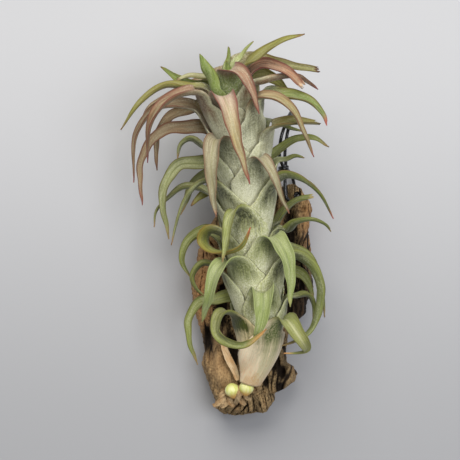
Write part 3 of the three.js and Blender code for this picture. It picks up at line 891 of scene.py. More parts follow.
class LeafLook(Enum):
    """The kinds of leaf, from the foot of the plant to its crown."""

    GREEN = LeafFinish("green")
    PAPERY = LeafFinish(
        "papery", sheath=(255, 232, 198), foot=(255, 218, 176), bend=(84, 98, 46),
        under=(104, 112, 58), blade=(142, 150, 84), far=(132, 134, 72), tip=(214, 158, 96),
        margin=(122, 124, 66), midline=(206, 204, 160), sheath_scales=0.2, lines=0.35,
        withering=0.6, green_strip=0.5,
    )
    DRY_FOOT = LeafFinish(
        "dry_foot", sheath=(214, 196, 150), foot=(240, 204, 158), under=(96, 104, 44),
        blade=(136, 138, 78), far=(120, 128, 58), tip=(196, 140, 80), bend=(66, 72, 22),
        sheath_scales=0.15, bend_depth=1.7, tip_start=0.74, withering=1.0,
    )
    BRIGHT = LeafFinish(
        "bright", bend=(92, 100, 52), under=(108, 122, 60), blade=(142, 152, 98),
        far=(130, 144, 80), tip=(164, 164, 96), margin=(160, 170, 112), midline=(112, 122, 74),
        blade_scales=0.25,
    )
    SILVERY = LeafFinish(
        "silvery", sheath=(182, 184, 134), foot=(218, 216, 178), under=(80, 86, 42),
        blade=(132, 137, 92), far=(124, 129, 80), tip=(160, 124, 80), margin=(104, 97, 54),
        sheath_scales=0.9, blade_scales=0.3,
    )
    STRIPED = LeafFinish(
        "striped", under=(88, 98, 44), blade=(136, 142, 86), far=(132, 139, 76),
        tip=(164, 130, 90), margin=(106, 104, 52), midline=(166, 170, 118), lines=0.8,
        sheath_scales=0.85, blade_scales=0.24,
    )
    CURLED = LeafFinish(
        "curled", bend=(76, 80, 38), under=(120, 124, 46), blade=(122, 128, 52),
        far=(126, 130, 50), tip=(184, 104, 70), margin=(150, 112, 48), midline=(112, 116, 46),
        blade_scales=0.1, blush=0.3,
    )
    GREEN_RED = LeafFinish(
        "green_red", sheath=(180, 182, 130), foot=(214, 212, 172), under=(70, 84, 32),
        blade=(118, 126, 66), far=(102, 118, 48), tip=(176, 96, 82), margin=(108, 78, 48),
        midline=(96, 106, 46), sheath_scales=0.85, blush=0.3,
    )
    TAN = LeafFinish(
        "tan", sheath=(190, 190, 148), foot=(226, 224, 192), under=(94, 88, 46),
        blade=(152, 140, 116), far=(142, 134, 104), tip=(168, 112, 84), margin=(122, 90, 68),
        midline=(136, 132, 84), sheath_scales=1.0, blade_scales=0.28, bend_depth=0.72, blush=0.4,
        tip_start=0.9,
    )
    BLUSHED = LeafFinish(
        "blushed", sheath=(196, 198, 162), foot=(228, 228, 204), bend=(58, 52, 28),
        under=(104, 78, 46), blade=(158, 134, 104), far=(146, 130, 84), tip=(172, 92, 78),
        margin=(120, 80, 58), midline=(140, 126, 80), sheath_scales=1.0, blade_scales=0.26,
        blush=0.5, bend_depth=0.75, blade_start=12.0,
    )
    PINK = LeafFinish(
        "pink", sheath=(190, 188, 152), foot=(226, 224, 198), bend=(120, 100, 84),
        under=(150, 112, 92), blade=(196, 166, 156), far=(162, 144, 100), tip=(160, 86, 76),
        margin=(124, 66, 56), midline=(144, 134, 92), sheath_scales=0.9, blade_scales=0.28,
        blush=0.6, tip_start=0.8,
    )
    ARCH = LeafFinish(
        "arch", sheath=(126, 152, 66), foot=(136, 162, 74), bend=(96, 104, 46),
        under=(118, 74, 52), blade=(168, 132, 112), far=(150, 108, 86), tip=(156, 86, 74),
        margin=(110, 62, 50), midline=(142, 108, 86), sheath_scales=0.8, blade_scales=0.3,
        bend_depth=0.35, blush=0.6,
    )
    RUSSET = LeafFinish(
        "russet", sheath=(188, 186, 148), foot=(226, 222, 194), bend=(104, 66, 42),
        under=(100, 56, 38), blade=(150, 112, 88), far=(138, 112, 80), tip=(150, 76, 84),
        margin=(114, 56, 46), midline=(128, 114, 72), sheath_scales=0.85, blade_scales=0.26,
        blush=0.5, blade_start=16.0,
    )
    MAUVE = LeafFinish(
        "mauve", sheath=(184, 180, 146), foot=(222, 218, 188), bend=(92, 72, 48),
        under=(96, 60, 42), blade=(148, 120, 92), far=(142, 116, 88), tip=(138, 72, 62),
        margin=(116, 68, 50), midline=(128, 112, 78), sheath_scales=0.8, blade_scales=0.3,
        blush=0.35, blade_start=20.0,
    )
    CUT_PINK = LeafFinish(
        "cut_pink", sheath=(150, 128, 100), bend=(104, 64, 46), under=(108, 66, 46),
        blade=(146, 102, 80), far=(142, 100, 80), tip=(222, 192, 156), margin=(104, 52, 42),
        midline=(176, 134, 114), sheath_scales=0.6, blade_scales=0.18, blush=0.6,
        tip_start=0.95, lines=0.8,
    )
    CUT_OLIVE = LeafFinish(
        "cut_olive", sheath=(196, 198, 160), foot=(228, 226, 200), bend=(96, 84, 52),
        under=(92, 84, 40), blade=(124, 112, 64), far=(122, 118, 62), tip=(96, 66, 42),
        margin=(104, 80, 46), midline=(106, 100, 50), sheath_scales=1.0, blade_scales=0.2,
        bend_depth=0.6, blush=0.4, tip_start=0.97, blade_start=14.0,
    )
    CUT_GREEN = LeafFinish(
        "cut_green", under=(86, 94, 44), blade=(128, 132, 76), far=(120, 128, 66),
        tip=(206, 184, 122), sheath_scales=0.85, blade_scales=0.3, tip_start=0.92,
    )
    OLIVE = LeafFinish(
        "olive", sheath=(160, 150, 112), bend=(88, 78, 42), under=(108, 78, 50),
        blade=(138, 134, 72), far=(134, 132, 62), tip=(136, 88, 60), margin=(120, 106, 52),
        midline=(122, 118, 54), blade_scales=0.18, blush=0.3,
    )
    BROWN = LeafFinish(
        "brown", sheath=(184, 178, 146), foot=(222, 216, 188), bend=(88, 68, 46),
        under=(92, 62, 42), blade=(146, 122, 94), far=(138, 112, 82), tip=(112, 72, 56),
        margin=(112, 82, 58), midline=(116, 96, 64), sheath_scales=0.8, blade_scales=0.28,
        blush=0.3, blade_start=16.0,
    )
    PALE = LeafFinish(
        "pale", bend=(140, 138, 98), under=(150, 150, 108), blade=(172, 170, 130),
        far=(166, 164, 122), tip=(170, 136, 96), margin=(136, 122, 82), blade_scales=0.3,
        bend_depth=0.4, tip_start=0.93,
    )
    FRESH = LeafFinish(
        "fresh", sheath=(128, 154, 62), foot=(136, 162, 70), bend=(110, 136, 52),
        under=(94, 112, 42), blade=(124, 136, 64), far=(110, 126, 52), tip=(130, 108, 58),
        margin=(134, 128, 72), midline=(104, 124, 50), sheath_scales=0.45, blade_scales=0.2,
        bend_depth=0.3, tip_start=0.88,
    )
    PALE_FRESH = LeafFinish(
        "pale_fresh", under=(140, 152, 84), blade=(160, 170, 102), far=(150, 160, 92),
        tip=(150, 138, 84), margin=(140, 144, 84), midline=(138, 150, 82), blade_scales=0.2,
        bend_depth=0.3, tip_start=0.88,
    )


@dataclass(frozen=True)
class StemAxis:
    """The middle line of the stem, which every leaf is placed round."""

    route: Spline = Spline(
        (
            (-1.5, -42, 30), (4, -19, 36), (3, 4, 39), (0.5, 27, 43),
            (-2, 50, 48), (-4.5, 72, 54), (-8, 92, 60), (-9.5, 112, 66),
        )
    )
    samples: int = 1400
    seen_length: float = 160.0
    seen_samples: int = 80

    def frame_at(self, heights: Grid) -> tuple[Grid, Grid, Grid, Grid]:
        """Find the stem's own directions.

        Args:
            heights: Distances along the stem from its foot.

        Returns:
            Middle points, directions up the stem, to its right and to its front.
        """
        points = self.route.at(np.linspace(0.0, 1.0, self.samples))
        known = lengths_along(points)
        ways = unit(np.gradient(points, axis=0))
        heights = np.atleast_1d(np.asarray(heights, float))
        inside = np.clip(heights, 0.0, known[-1])
        along = unit(read_at(inside, known, ways))
        origin = read_at(inside, known, points) + along * (heights - inside)[:, None]
        right = unit(np.array([1.0, 0.0, 0.0]) - along * along[:, :1])
        return origin, along, right, np.cross(right, along)

    def radial(self, heights: Grid, azimuth: Grid) -> Grid:
        """Find the directions away from the stem.

        Args:
            heights: Distances along the stem from its foot.
            azimuth: Degrees round the stem from its front.

        Returns:
            One direction for each height.
        """
        _, _, right, front = self.frame_at(heights)
        angle = np.radians(np.broadcast_to(azimuth, right.shape[:1]))[:, None]
        return np.cos(angle) * front + np.sin(angle) * right

    def around(self, heights: Grid, azimuth: Grid, radius: Grid) -> Grid:
        """Find points round the stem.

        Args:
            heights: Distances along the stem from its foot.
            azimuth: Degrees round the stem from its front.
            radius: Distances from its middle line.

        Returns:
            One point for each height.
        """
        away = self.radial(heights, azimuth)
        radii = np.broadcast_to(radius, away.shape[:1])[:, None]
        return self.frame_at(heights)[0] + away * radii

    def across(self, y: Grid) -> Grid:
        """Find where the stem runs, as seen from the front.

        Args:
            y: Places along the bark.

        Returns:
            Places of the stem's middle line across the bark.
        """
        points = self.frame_at(np.linspace(0.0, self.seen_length, self.seen_samples))[0]
        return np.interp(y, points[:, 1], points[:, 0])


@dataclass(frozen=True)
class Spiral:
    """How leaves follow each other up the stem. The crown's leaves stand closer together."""

    missing_ranks: tuple[int, ...] = (1, 9)
    divergence: float = 137.5
    crown_rank: int = 39
    front_azimuth: float = -1.0
    first_height: float = 2.7
    spacing: float = 2.75
    crown_spacing: float = 1.8
    sheath_length: float = 32.0
    sheath_shortening: float = 0.8
    base_radius: float = 5.3
    radius_step: float = 0.3
    flare: float = 0.28
    flare_step: float = 0.012

    def height(self, below: int, above: int) -> float:
        """Return the height of a leaf's base, from how many leaves lead up to it."""
        return self.first_height + self.spacing * below + self.crown_spacing * above


@dataclass(frozen=True)
class Seat:
    """Where a leaf sits: its azimuth, heights along the stem, and its sheath's size."""

    azimuth: float
    base: float
    start: float
    neck: float
    radius: float
    flare: float

    def sheath_radius(self, distance: Grid) -> Grid:
        """Return how far the sheath stands from the stem's middle, at distances past the neck."""
        return self.radius + self.flare * (np.minimum(distance, 0.0) + self.neck - self.base)


@dataclass
class Course:
    """The middle line of a leaf, and the directions along, out of and across it."""

    distance: Grid
    points: Grid
    way: Grid
    out: Grid
    side: Grid
    total: float

    def turn(self, angle: Grid) -> None:
        """Turn the leaf round its own middle line.

        Args:
            angle: The turn at each point, in radians.
        """
        cosine, sine = np.cos(angle)[:, None], np.sin(angle)[:, None]
        self.out, self.side = (
            self.out * cosine + self.side * sine,
            self.side * cosine - self.out * sine,
        )


@dataclass
class Leaf:
    """One leaf: a sheath that clasps the stem and a channelled blade that arches out of it.

    The blade's points are reach from the stem's middle line, swing in degrees round it, and
    rise over the neck, where the sheath ends and the blade begins.
    """

    rank: int
    look: LeafLook
    blade: tuple[Point, ...]
    turn: float = 0.0
    lift: float = 0.0
    width: float = 1.0
    roll: float = 0.0
    trim: float = 0.0
    wrap: float = 54.0
    cut: bool = False
    neck_half_width: float = 5.4
    sheath_half_width: float = 12.6
    base_narrowing: float = 0.7
    narrowing_start: float = 0.45
    shoulder: float = 14.0
    throat: float = 6.0
    tilt_start: float = -12.0
    tip_half_width: float = 0.3
    cut_half_width: float = 1.9
    point_start: float = 0.93
    point_narrowing: float = 0.75
    rib: float = 1.15
    tip_rib: float = 0.55
    sheath_rib: float = 0.8
    sheath_rib_run: float = 12.0
    rim: float = 0.3
    channel: float = 1.15
    channel_start: float = 9.0
    roll_length: float = 14.0
    wave_degrees: float = 5.0
    wave_pitch: float = 0.23
    wave_rise: tuple[float, float] = (4.0, 16.0)
    ruffle: float = 0.22
    ruffle_pitch: float = 0.55
    ruffle_rise: tuple[float, float] = (-14.0, 6.0)
    tear_start: float = 0.94
    tears: tuple[tuple[float, float], ...] = ((0.7, 9.0), (0.5, 23.0))
    taper: float = 0.85
    columns: int = 15
    samples: int = 900
    fewest_rows: int = 24
    row_step: float = 1.0
    spiral: Spiral = Spiral()
    axis: StemAxis = StemAxis()

    @property
    def node(self) -> str:
        """The name of the solid that this leaf stands for."""
        before = sum(rank < self.rank for rank in self.spiral.missing_ranks)
        return f"leaf_{self.rank - before + 1:02d}"

    def seat(self) -> Seat:
        """Work out where the leaf sits on the spiral.

        Returns:
            Its seat.
        """
        s = self.spiral
        above = max(0, self.rank - s.crown_rank)
        base = s.height(min(self.rank, s.crown_rank), above)
        return Seat(
            azimuth=s.front_azimuth + s.divergence * (self.rank - s.crown_rank) + self.turn,
            base=base,
            start=base + self.trim,
            neck=base + s.sheath_length - s.sheath_shortening * above + self.lift,
            radius=s.base_radius - s.radius_step * above,
            flare=s.flare - s.flare_step * above,
        )

    def course(self, seat: Seat) -> Course:
        """Lay the leaf's middle line, from the foot of its sheath to its tip.

        Args:
            seat: Where the leaf sits.

        Returns:
            The middle line, with its distances counted from the neck.
        """
        neck, azimuth, throat = seat.neck, seat.azimuth, self.throat
        falls = np.arange(neck - seat.start, throat + 0.5 * self.row_step, -self.row_step)
        low = self.axis.around(neck - falls, azimuth, seat.sheath_radius(-falls))
        low_out = self.axis.radial(neck - falls, azimuth)
        reach, swing, rise = (np.array(column, float) for column in zip(*self.blade))
        marks = np.vstack(
            [
                self.axis.around(neck - throat, azimuth, seat.sheath_radius(-throat)),
                self.axis.around(neck, azimuth, seat.sheath_radius(0.0)),
                self.axis.around(neck + rise, azimuth + swing, reach),
            ]
        )
        even = np.linspace(0.0, 1.0, self.samples)
        fine = Spline(tuple(map(tuple, marks))).at(even)
        known = lengths_along(fine)
        known -= np.interp(1.0 / (len(marks) - 1), even, known)
        normal = self.axis.radial(neck - throat, azimuth)[0]
        normals = []
        for way in unit(np.gradient(fine, axis=0)):
            normal = unit(normal - way * normal.dot(way))
            normals.append(normal)
        rows = max(self.fewest_rows, int((known[-1] + throat) / self.row_step))
        past = np.linspace(known[0], known[-1], rows)
        points = np.vstack([low, read_at(past, known, fine)])
        distance = np.concatenate([-falls, past])
        way = unit(np.gradient(points, axis=0))
        out = np.vstack([low_out, unit(read_at(past, known, np.array(normals)))])
        tilt = smooth(distance, self.tilt_start, -throat)[:, None]
        out = unit(out - tilt * way * (out * way).sum(1, keepdims=True))
        return Course(distance, points, way, out, unit(np.cross(way, out)), known[-1])

    def half_widths(self, seat: Seat, distance: Grid, share: Grid) -> Grid:
        """Work out how wide the leaf is.

        Args:
            seat: Where the leaf sits.
            distance: Distances past the neck.
            share: Shares of the blade's length.

        Returns:
            Half its width at each distance, measured round its curve.
        """
        half_wrap = math.radians(self.wrap)
        clasp = seat.sheath_radius(distance) * half_wrap
        neck_half = min(self.neck_half_width * self.width, seat.sheath_radius(0.0) * half_wrap)
        fall = np.maximum(-distance, 0.0)
        spread = np.sin(np.minimum(fall / self.shoulder, 1.0) * math.pi / 2.0)
        sheath = np.minimum(mix(neck_half, self.sheath_half_width, spread), clasp)
        length = seat.neck - seat.start
        foot = smooth(fall, self.narrowing_start * length, length)
        sheath *= mix(1.0, self.base_narrowing, foot)
        tip_half = self.cut_half_width * self.width if self.cut else self.tip_half_width
        blade = mix(tip_half, neck_half, (1.0 - share) ** self.taper)
        half = np.where(distance > 0.0, blade, sheath)
        kernel = np.array([1.0, 2.0, 3.0, 2.0, 1.0]) / 9.0
        half[2:-2] = np.convolve(half, kernel, "valid")
        if not self.cut:
            half *= 1.0 - self.point_narrowing * smooth(share, self.point_start, 1.0)
        return half

    def rings(self) -> tuple[Grid, dict[str, Grid]]:
        """Lay the cross-sections of the leaf along its middle line.

        Returns:
            Rings for a skin, and the marks that the leaf's material reads.
        """
        seat = self.seat()
        course = self.course(seat)
        distance = course.distance
        course.turn(np.radians(self.roll) * smooth(distance, 0.0, self.roll_length))
        wave = np.sin(distance * self.wave_pitch + self.rank) * smooth(distance, *self.wave_rise)
        course.turn(np.radians(self.wave_degrees * wave))
        share = np.clip(distance / course.total, 0.0, 1.0)
        half = self.half_widths(seat, distance, share)
        formed = smooth(distance, 0.0, self.channel_start)
        bend = mix(1.0 / seat.sheath_radius(distance), self.channel / half, formed)
        low = smooth(np.maximum(-distance, 0.0), 0.0, self.sheath_rib_run)
        rib = np.where(
            distance < 0.0, mix(self.rib, self.sheath_rib, low), mix(self.rib, self.tip_rib, share)
        )
        return self.sections(course, half, bend, rib, share)

    def sections(
        self, course: Course, half: Grid, bend: Grid, rib: Grid, share: Grid
    ) -> tuple[Grid, dict[str, Grid]]:
        """Turn widths and curvatures into closed rings.

        Args:
            course: The middle line.
            half: Half widths.
            bend: Curvatures across the leaf.
            rib: Thicknesses at the middle.
            share: Shares of the blade's length.

        Returns:
            Rings for a skin, and the marks that the leaf's material reads.
        """
        u = np.linspace(-1.0, 1.0, self.columns)[None, :]
        distance = course.distance[:, None]
        out, side = course.out[:, None], course.side[:, None]
        angle = u * (half * bend)[:, None]
        over = (np.sin(angle) / bend[:, None])[..., None]
        deep = ((1.0 - np.cos(angle)) / bend[:, None])[..., None]
        middle = course.points[:, None] + side * over - out * deep
        facing = side * np.sin(angle)[..., None] + out * np.cos(angle)[..., None]
        phase = distance * self.ruffle_pitch + self.rank * 1.7 + 2.0 * u
        ruffle = self.ruffle * np.sin(phase) * u**4 * smooth(distance, *self.ruffle_rise)
        middle = middle + facing * ruffle[..., None]
        if self.cut:
            (coarse, wide), (fine, narrow) = self.tears
            tear = coarse * np.sin(u * wide + self.rank) + fine * np.sin(u * narrow + 2.0)
            torn = tear * smooth(share, self.tear_start, 1.0)[:, None]
            middle = middle + course.way[:, None] * torn[..., None]
        rings = sheet_rings(middle, facing, mix(rib[:, None], self.rim, u**2)[..., None] / 2.0)
        both = both_ways(u, u) * np.ones((len(share), 1))
        inner = np.concatenate([np.zeros(self.columns), np.ones(self.columns)])
        place = (both * half[:, None], distance, float(self.rank))
        marks = {
            "leaf_place": np.stack(np.broadcast_arrays(*place), axis=-1),
            "leaf_share": np.stack(np.broadcast_arrays(both, share[:, None], inner), axis=-1),
        }
        return rings, marks

    def build(self, materials: dict[LeafLook, bpy.types.Material]) -> bpy.types.Object:
        """Build and dress the leaf.

        Args:
            materials: The leaf materials by look.

        Returns:
            The piece.
        """
        piece = skin("grown_" + self.node, *self.rings())
        piece.data.materials.append(materials[self.look])
        return piece


LOOK = LeafLook
LEAVES: tuple[Leaf, ...] = (
    Leaf(
        0, LOOK.PAPERY,
        (
            (17, 13, 4.3), (21, 12, 2.9), (24, 14, -0.2), (26, 17, -2.7), (25.5, 25, -5.4),
            (22, 23, -6.6), (18, 9, -7.3),
        ),
        turn=-6, lift=-4, trim=1.6, wrap=95, width=1.2, roll=70, columns=31,
        sheath_half_width=16.1, base_narrowing=0.8,
    ),
    Leaf(
        2, LOOK.DRY_FOOT,
        ((22.5, 2, 3.2), (25, 1, -5), (26, 23, -9.6), (27, 40, -8.3), (26.5, 56, -3)),
        turn=-1, lift=-3, width=0.9, base_narrowing=1.0,
    ),
    Leaf(3, LOOK.GREEN, ((18, 0, 0), (23, 1, 0), (25, 3, -4), (25, 5, -10))),
    Leaf(
        4, LOOK.GREEN, ((21, 30, 0), (27, 40, 0), (32, 45, -8), (31, 48, -26), (25, 50, -37)),
        lift=-2, width=0.75,
    ),
    Leaf(
        5, LOOK.BRIGHT, ((19, -4, 3), (23, -9, -5), (24, -14, -12), (22.5, -21, -18)),
        turn=10, lift=-2, width=1.5, roll=-22, channel=1.35, channel_start=5,
    ),
    Leaf(6, LOOK.GREEN, ((19, -18, 1.5), (23, -28, 0), (26, -33, -6), (27, -35, -11))),
    Leaf(7, LOOK.GREEN, ((23, 0, 4), (28, 0, -1), (27, 2, -7), (23, 4, -12)), lift=5),
    Leaf(
        8, LOOK.GREEN,
        ((20, 14, 3), (26, 22, -2), (29, 26, -13), (25, 25, -28), (20, 14, -32), (13, 2, -35)),
        turn=-4, lift=3, width=0.85,
    ),
    Leaf(
        10, LOOK.BRIGHT, ((19, -9, 2), (25, -14, -0.7), (28, -19, -10.5), (28, -40, -26.5)),
        turn=2, lift=1, width=1.1, roll=-62, base_narrowing=0.5,
    ),
    Leaf(11, LOOK.GREEN, ((19, -5, -2), (25, -8, -6), (30, -8, -18), (31, -8, -32))),
    Leaf(12, LOOK.GREEN, ((21, 10, 4), (29, 15, 0), (32, 18, -7), (29, 20, -16)), lift=4),
    Leaf(
        13, LOOK.BRIGHT, ((19, 2, 2), (25, 5, -4), (27, 5, -16), (27, 2, -30)),
        turn=6, lift=2, width=1.15, roll=40, base_narrowing=0.4,
    ),
    Leaf(14, LOOK.GREEN, ((18, -14, 1), (20, -25, -4), (21, -30, -12)), lift=-1, width=0.8),
    Leaf(
        15, LOOK.CURLED,
        ((19, -9, 2), (21, -12, -2), (20, 1, -5), (20, 27, -5), (19, 47, -3), (19, 63, 5)),
        width=1.1,
    ),
    Leaf(
        16, LOOK.GREEN, ((17, 2, -1.8), (23, -7, 2.6), (30, -6, 3.6), (35, -2, 0.8), (37, 2, -3)),
        lift=-3,
    ),
    Leaf(17, LOOK.OLIVE, ((18, 30, 7), (22, 38, 5), (26, 45, 1)), lift=6),
    Leaf(
        18, LOOK.STRIPED, ((18, -10, 3.7), (22, -16.7, 0.5), (25, -19.4, -7.3), (27, -25, -18.4)),
        turn=4, lift=1.5, width=0.9, roll=-62,
    ),
    Leaf(
        19, LOOK.CUT_GREEN, ((17, 3, 0), (20, -6, 5), (25, -12, 9), (31, -22, 11)),
        lift=-12, cut=True,
    ),
    Leaf(20, LOOK.SILVERY, ((27, 0, 5), (35, 0, 1), (41, 2, -4), (43, 4, -11)), lift=3),
    Leaf(
        21, LOOK.GREEN_RED, ((20, 12, 5), (28, 11.5, 4.2), (36, 12.3, -2.2), (41, 16.4, -15)),
        turn=6, lift=3,
    ),
    Leaf(22, LOOK.SILVERY, ((18, 20, 4), (28, 50, 2), (34, 65, -12))),
    Leaf(
        23, LOOK.SILVERY, ((22, -5, 6), (28, -12, 2), (33, -16, -6), (39, -18, -21)),
        turn=-6, lift=-1, width=0.85,
    ),
    Leaf(24, LOOK.GREEN, ((20, 0, 0), (24, 0, 1), (28, 0, 0)), lift=5, width=0.85),
    Leaf(
        25, LOOK.SILVERY, ((20, 25, 2), (29, 35, 3), (37, 40, -8), (37, 44, -29)),
        lift=2, width=0.9,
    ),
    Leaf(
        26, LOOK.TAN, ((19, 6, 4), (25, 10, -1), (28, 14, -13), (28, 21, -22)),
        turn=8, lift=2, width=0.9, roll=50, taper=1.25,
    ),
    Leaf(
        27, LOOK.GREEN,
        ((18, -16, 2.5), (22, -26, 6), (28, -39, 10), (34, -49, 10), (40, -49, 5.6)),
        lift=-6, width=0.75,
    ),
    Leaf(
        28, LOOK.SILVERY, ((18.5, -6, 3.6), (22, -10, 7), (26, -10, 5.5), (29, -10, -1.5)),
        lift=3, width=1.15,
    ),
    Leaf(
        29, LOOK.CUT_OLIVE, ((19, -8.3, 4.2), (25, -4.4, 6), (31, 0.1, 6.1), (37, 12.5, 3.5)),
        turn=-6, lift=4, cut=True, width=1.2,
    ),
    Leaf(
        30, LOOK.MAUVE, ((23, 45, 6), (35, 55, 7), (46, 60, -7), (48, 62, -28)),
        lift=2, width=0.9,
    ),
    Leaf(
        31, LOOK.TAN, ((20, -6, 6), (25, -7, -2), (27, -7, -16), (27, -7, -29)),
        turn=-3, lift=-2.5, width=1.15, roll=-40,
    ),
    Leaf(32, LOOK.GREEN, ((19, 0, -2), (24, -5, -5), (30, -8, -7))),
    Leaf(33, LOOK.MAUVE, ((19, 5, 6), (33, 10, 8), (45, 12, 0), (50, 14, -26)), lift=3),
    Leaf(
        34, LOOK.BLUSHED,
        ((20, -1.2, 9.7), (27, 6.9, 10.2), (33, 12.5, 4.3), (36, 15.4, -6.4), (37, 23.2, -18.4)),
        turn=4, lift=1, width=0.9, roll=30,
    ),
    Leaf(35, LOOK.BROWN, ((19, 20, 2), (27, 55, 0), (34, 74, -1), (39, 82, -8), (41, 86, -26))),
    Leaf(
        36, LOOK.RUSSET,
        ((19, 4.6, 4.5), (27, 0, 4.6), (35, -3, 1.5), (40, -5.5, -3.5), (43.5, -12.5, -22.5)),
        turn=-7, lift=4.3, width=1.3,
    ),
    Leaf(
        37, LOOK.GREEN_RED,
        ((21, -7, -1), (28, -8, -2), (35, -11, -5), (40.5, -14, -11), (42, -16, -15)),
        width=1.15,
    ),
    Leaf(38, LOOK.FRESH, ((15, 12, 1.5), (21, 26, 4), (27, 36, 9), (31, 42, 13)), width=0.8),
    Leaf(
        39, LOOK.PINK, ((19, 14, 6), (25, 21, 1), (29, 24, -12), (29, 30, -32)),
        turn=-24, lift=-6, width=1.4, roll=40, taper=1.1,
    ),
    Leaf(
        40, LOOK.OLIVE, ((16, -16.5, 2), (20, -30, -0.6), (25, -31, -7.4), (27.3, -36, -10.8)),
        width=0.9,
    ),
    Leaf(
        41, LOOK.OLIVE, ((19, 0, 0.5), (29, 0, 2.3), (40.5, 4.8, -1.8), (51.5, 3.5, -9.6)),
        lift=-1.5, width=1.1,
    ),
    Leaf(
        42, LOOK.RUSSET, ((16, 16, 0.8), (22, 36, 1), (31, 50, -1.5), (40, 56, -12)),
        lift=-1.4, width=0.75,
    ),
    Leaf(
        43, LOOK.BROWN, ((16, 14, -1), (25, 36, -5), (34, 56, -8), (40, 64, -10), (44, 68, -14)),
        width=0.9,
    ),
    Leaf(
        44, LOOK.FRESH, ((10, 2, 4), (12, -2, 9.5), (13, -16, 15.2)),
        turn=-33, lift=-4, width=1.15, roll=60,
    ),
    Leaf(
        45, LOOK.CUT_PINK, ((10, -10, 4), (15, -16, 6), (21, -22, 5), (27, -26, 2), (32, -28, -4)),
        lift=-3, cut=True, width=0.95,
    ),
    Leaf(46, LOOK.PALE, ((14, 5, 0), (19, 12, 1), (24, 16, 0)), lift=-3, cut=True, width=0.65),
    Leaf(
        47, LOOK.ARCH, ((15, 6, 5.5), (21, 19, 5.2), (24, 26, -2), (25, 31, -13.8)),
        turn=-24, lift=-3, width=1.25, roll=42, taper=1.0,
    ),
    Leaf(
        48, LOOK.CUT_OLIVE,
        ((10, -20, 1.5), (16, -36, 1), (22, -47, -1), (29, -54, -3.2), (39, -60, -5.4)),
        lift=0.3, cut=True, width=0.7, cut_half_width=2.4,
    ),
    Leaf(49, LOOK.FRESH, ((5, 0, 2.5), (5.6, 0, 5)), lift=-9, width=0.8),
    Leaf(
        50, LOOK.OLIVE, ((8, 3, 3.8), (15, 2, 9), (24, 2, 14.2), (35, 1, 17.6)),
        lift=-5, width=1.9, roll=50,
    ),
    Leaf(51, LOOK.FRESH, ((6, -22, 5), (7, -27, 10)), lift=-5, width=0.38),
    Leaf(52, LOOK.FRESH, ((4, 0, 3), (5, 0, 5)), lift=-5, width=0.34),
    Leaf(53, LOOK.PALE_FRESH, ((5, -20, 2), (8, -30, 6), (11, -35, 9)), lift=-3, width=0.34),
)


@dataclass(frozen=True)
class DeadFinish:
    """Wood, paper-dry leaf or bark scale: fibres of a pale, a dark and a warm colour."""

    name: str
    pale: Colour
    dark: Colour
    warm: Colour
    warmth: float = 0.4
    contrast: float = 0.4
    grit: float = 0.15
    roughness: float = 0.85
    specular: float = 0.25
    relief_mm: float = 0.3
    relief_strength: float = 0.7

    def build(self, effects: Effects) -> bpy.types.Material:
        """Build the material.

        Args:
            effects: The shared node groups.

        Returns:
            The material.
        """
        material, g, shader = shader_of(self.name)
        fibres = g.node("ShaderNodeGroup", node_tree=effects.fibres)
        fill(g, fibres, self)
        g.put(fibres.inputs["Place"], g.place(*g.mark("fibre_place")))
        g.put(shader.inputs["Base Color"], fibres.outputs["Color"])
        g.put(shader.inputs["Roughness"], self.roughness)
        g.put(shader.inputs["Specular IOR Level"], self.specular)
        feel(g, shader, fibres.outputs["Height"], self.relief_mm, self.relief_strength)
        return material


@dataclass(frozen=True)
class BarkFinish(DeadFinish):
    """Weathered bark: fibres with painted shade in the crevices, under the leaves and round the
    hole, reddened on broken faces.
    """

    crevice: Colour = (36, 26, 16)
    crevice_rise: tuple[float, float] = (0.12, 0.75)
    broken: Colour = (208, 160, 116)
    broken_tint: float = 0.75
    broken_cover: float = 0.35
    slab: Colour = (204, 164, 116)
    slab_cover: float = 0.35

    def build(self, effects: Effects) -> bpy.types.Material:
        """Build the material.

        Args:
            effects: The shared node groups.

        Returns:
            The material.
        """
        material = super().build(effects)
        g = Graph(material.node_tree)
        base = material.node_tree.nodes["Principled BSDF"].inputs["Base Color"]
        shade_mask, red, slab = g.mark("bark_zone")
        broken = linear(self.broken)
        colour = base.links[0].from_socket
        colour = g.mix(g.times(red, self.broken_tint), colour, broken, "SOFT_LIGHT")
        colour = g.mix(g.times(red, self.broken_cover), colour, broken)
        colour = g.mix(g.times(slab, self.slab_cover), colour, linear(self.slab))
        # Painted shade: the crevices, the leaves' shadows and the hole's rim darkened to the shade
        # colour
        colour = g.mix(g.rise(shade_mask, *self.crevice_rise), colour, linear(self.crevice))
        g.put(base, colour)
        return material


@dataclass(frozen=True)
class BudFinish:
    """Pale, slightly glossy bud scales, orange-brown where they join the foot."""

    name: str = "bud_scales"
    pale: Colour = (244, 242, 178)
    green: Colour = (222, 224, 128)
    joint: Colour = (222, 168, 84)
    veins_round: float = 26.0
    blotches: tuple[float, float] = (3.0, 2.0)
    roughness: float = 0.25
    roughness_span: float = 0.3
    relief_mm: float = 0.15
    relief_strength: float = 0.5

    def build(self) -> bpy.types.Material:
        """Build the material.

        Returns:
            The material.
        """
        material, g, shader = shader_of(self.name)
        u, t, seed = g.mark("bud_share")
        green = linear(self.green)
        veins = g.noise(g.place(g.times(u, self.veins_round), t, seed), 2.0)
        wide, long = self.blotches
        soft = g.noise(g.place(g.times(u, wide), g.times(t, long), seed), 2.0)
        colour = g.mix(g.rise(soft, 0.35, 0.65), green, linear(self.pale))
        colour = g.mix(g.rise(veins, 0.45, 0.7, 0.2), colour, green)
        colour = g.mix(g.rise(t, 0.72, 1.0), colour, green)
        colour = g.mix(g.rise(t, 0.48, 0.08), colour, linear(self.joint))
        g.put(shader.inputs["Base Color"], colour)
        g.put(shader.inputs["Roughness"], g.scaled(soft, self.roughness_span, self.roughness))
        feel(g, shader, veins, self.relief_mm, self.relief_strength)
        return material


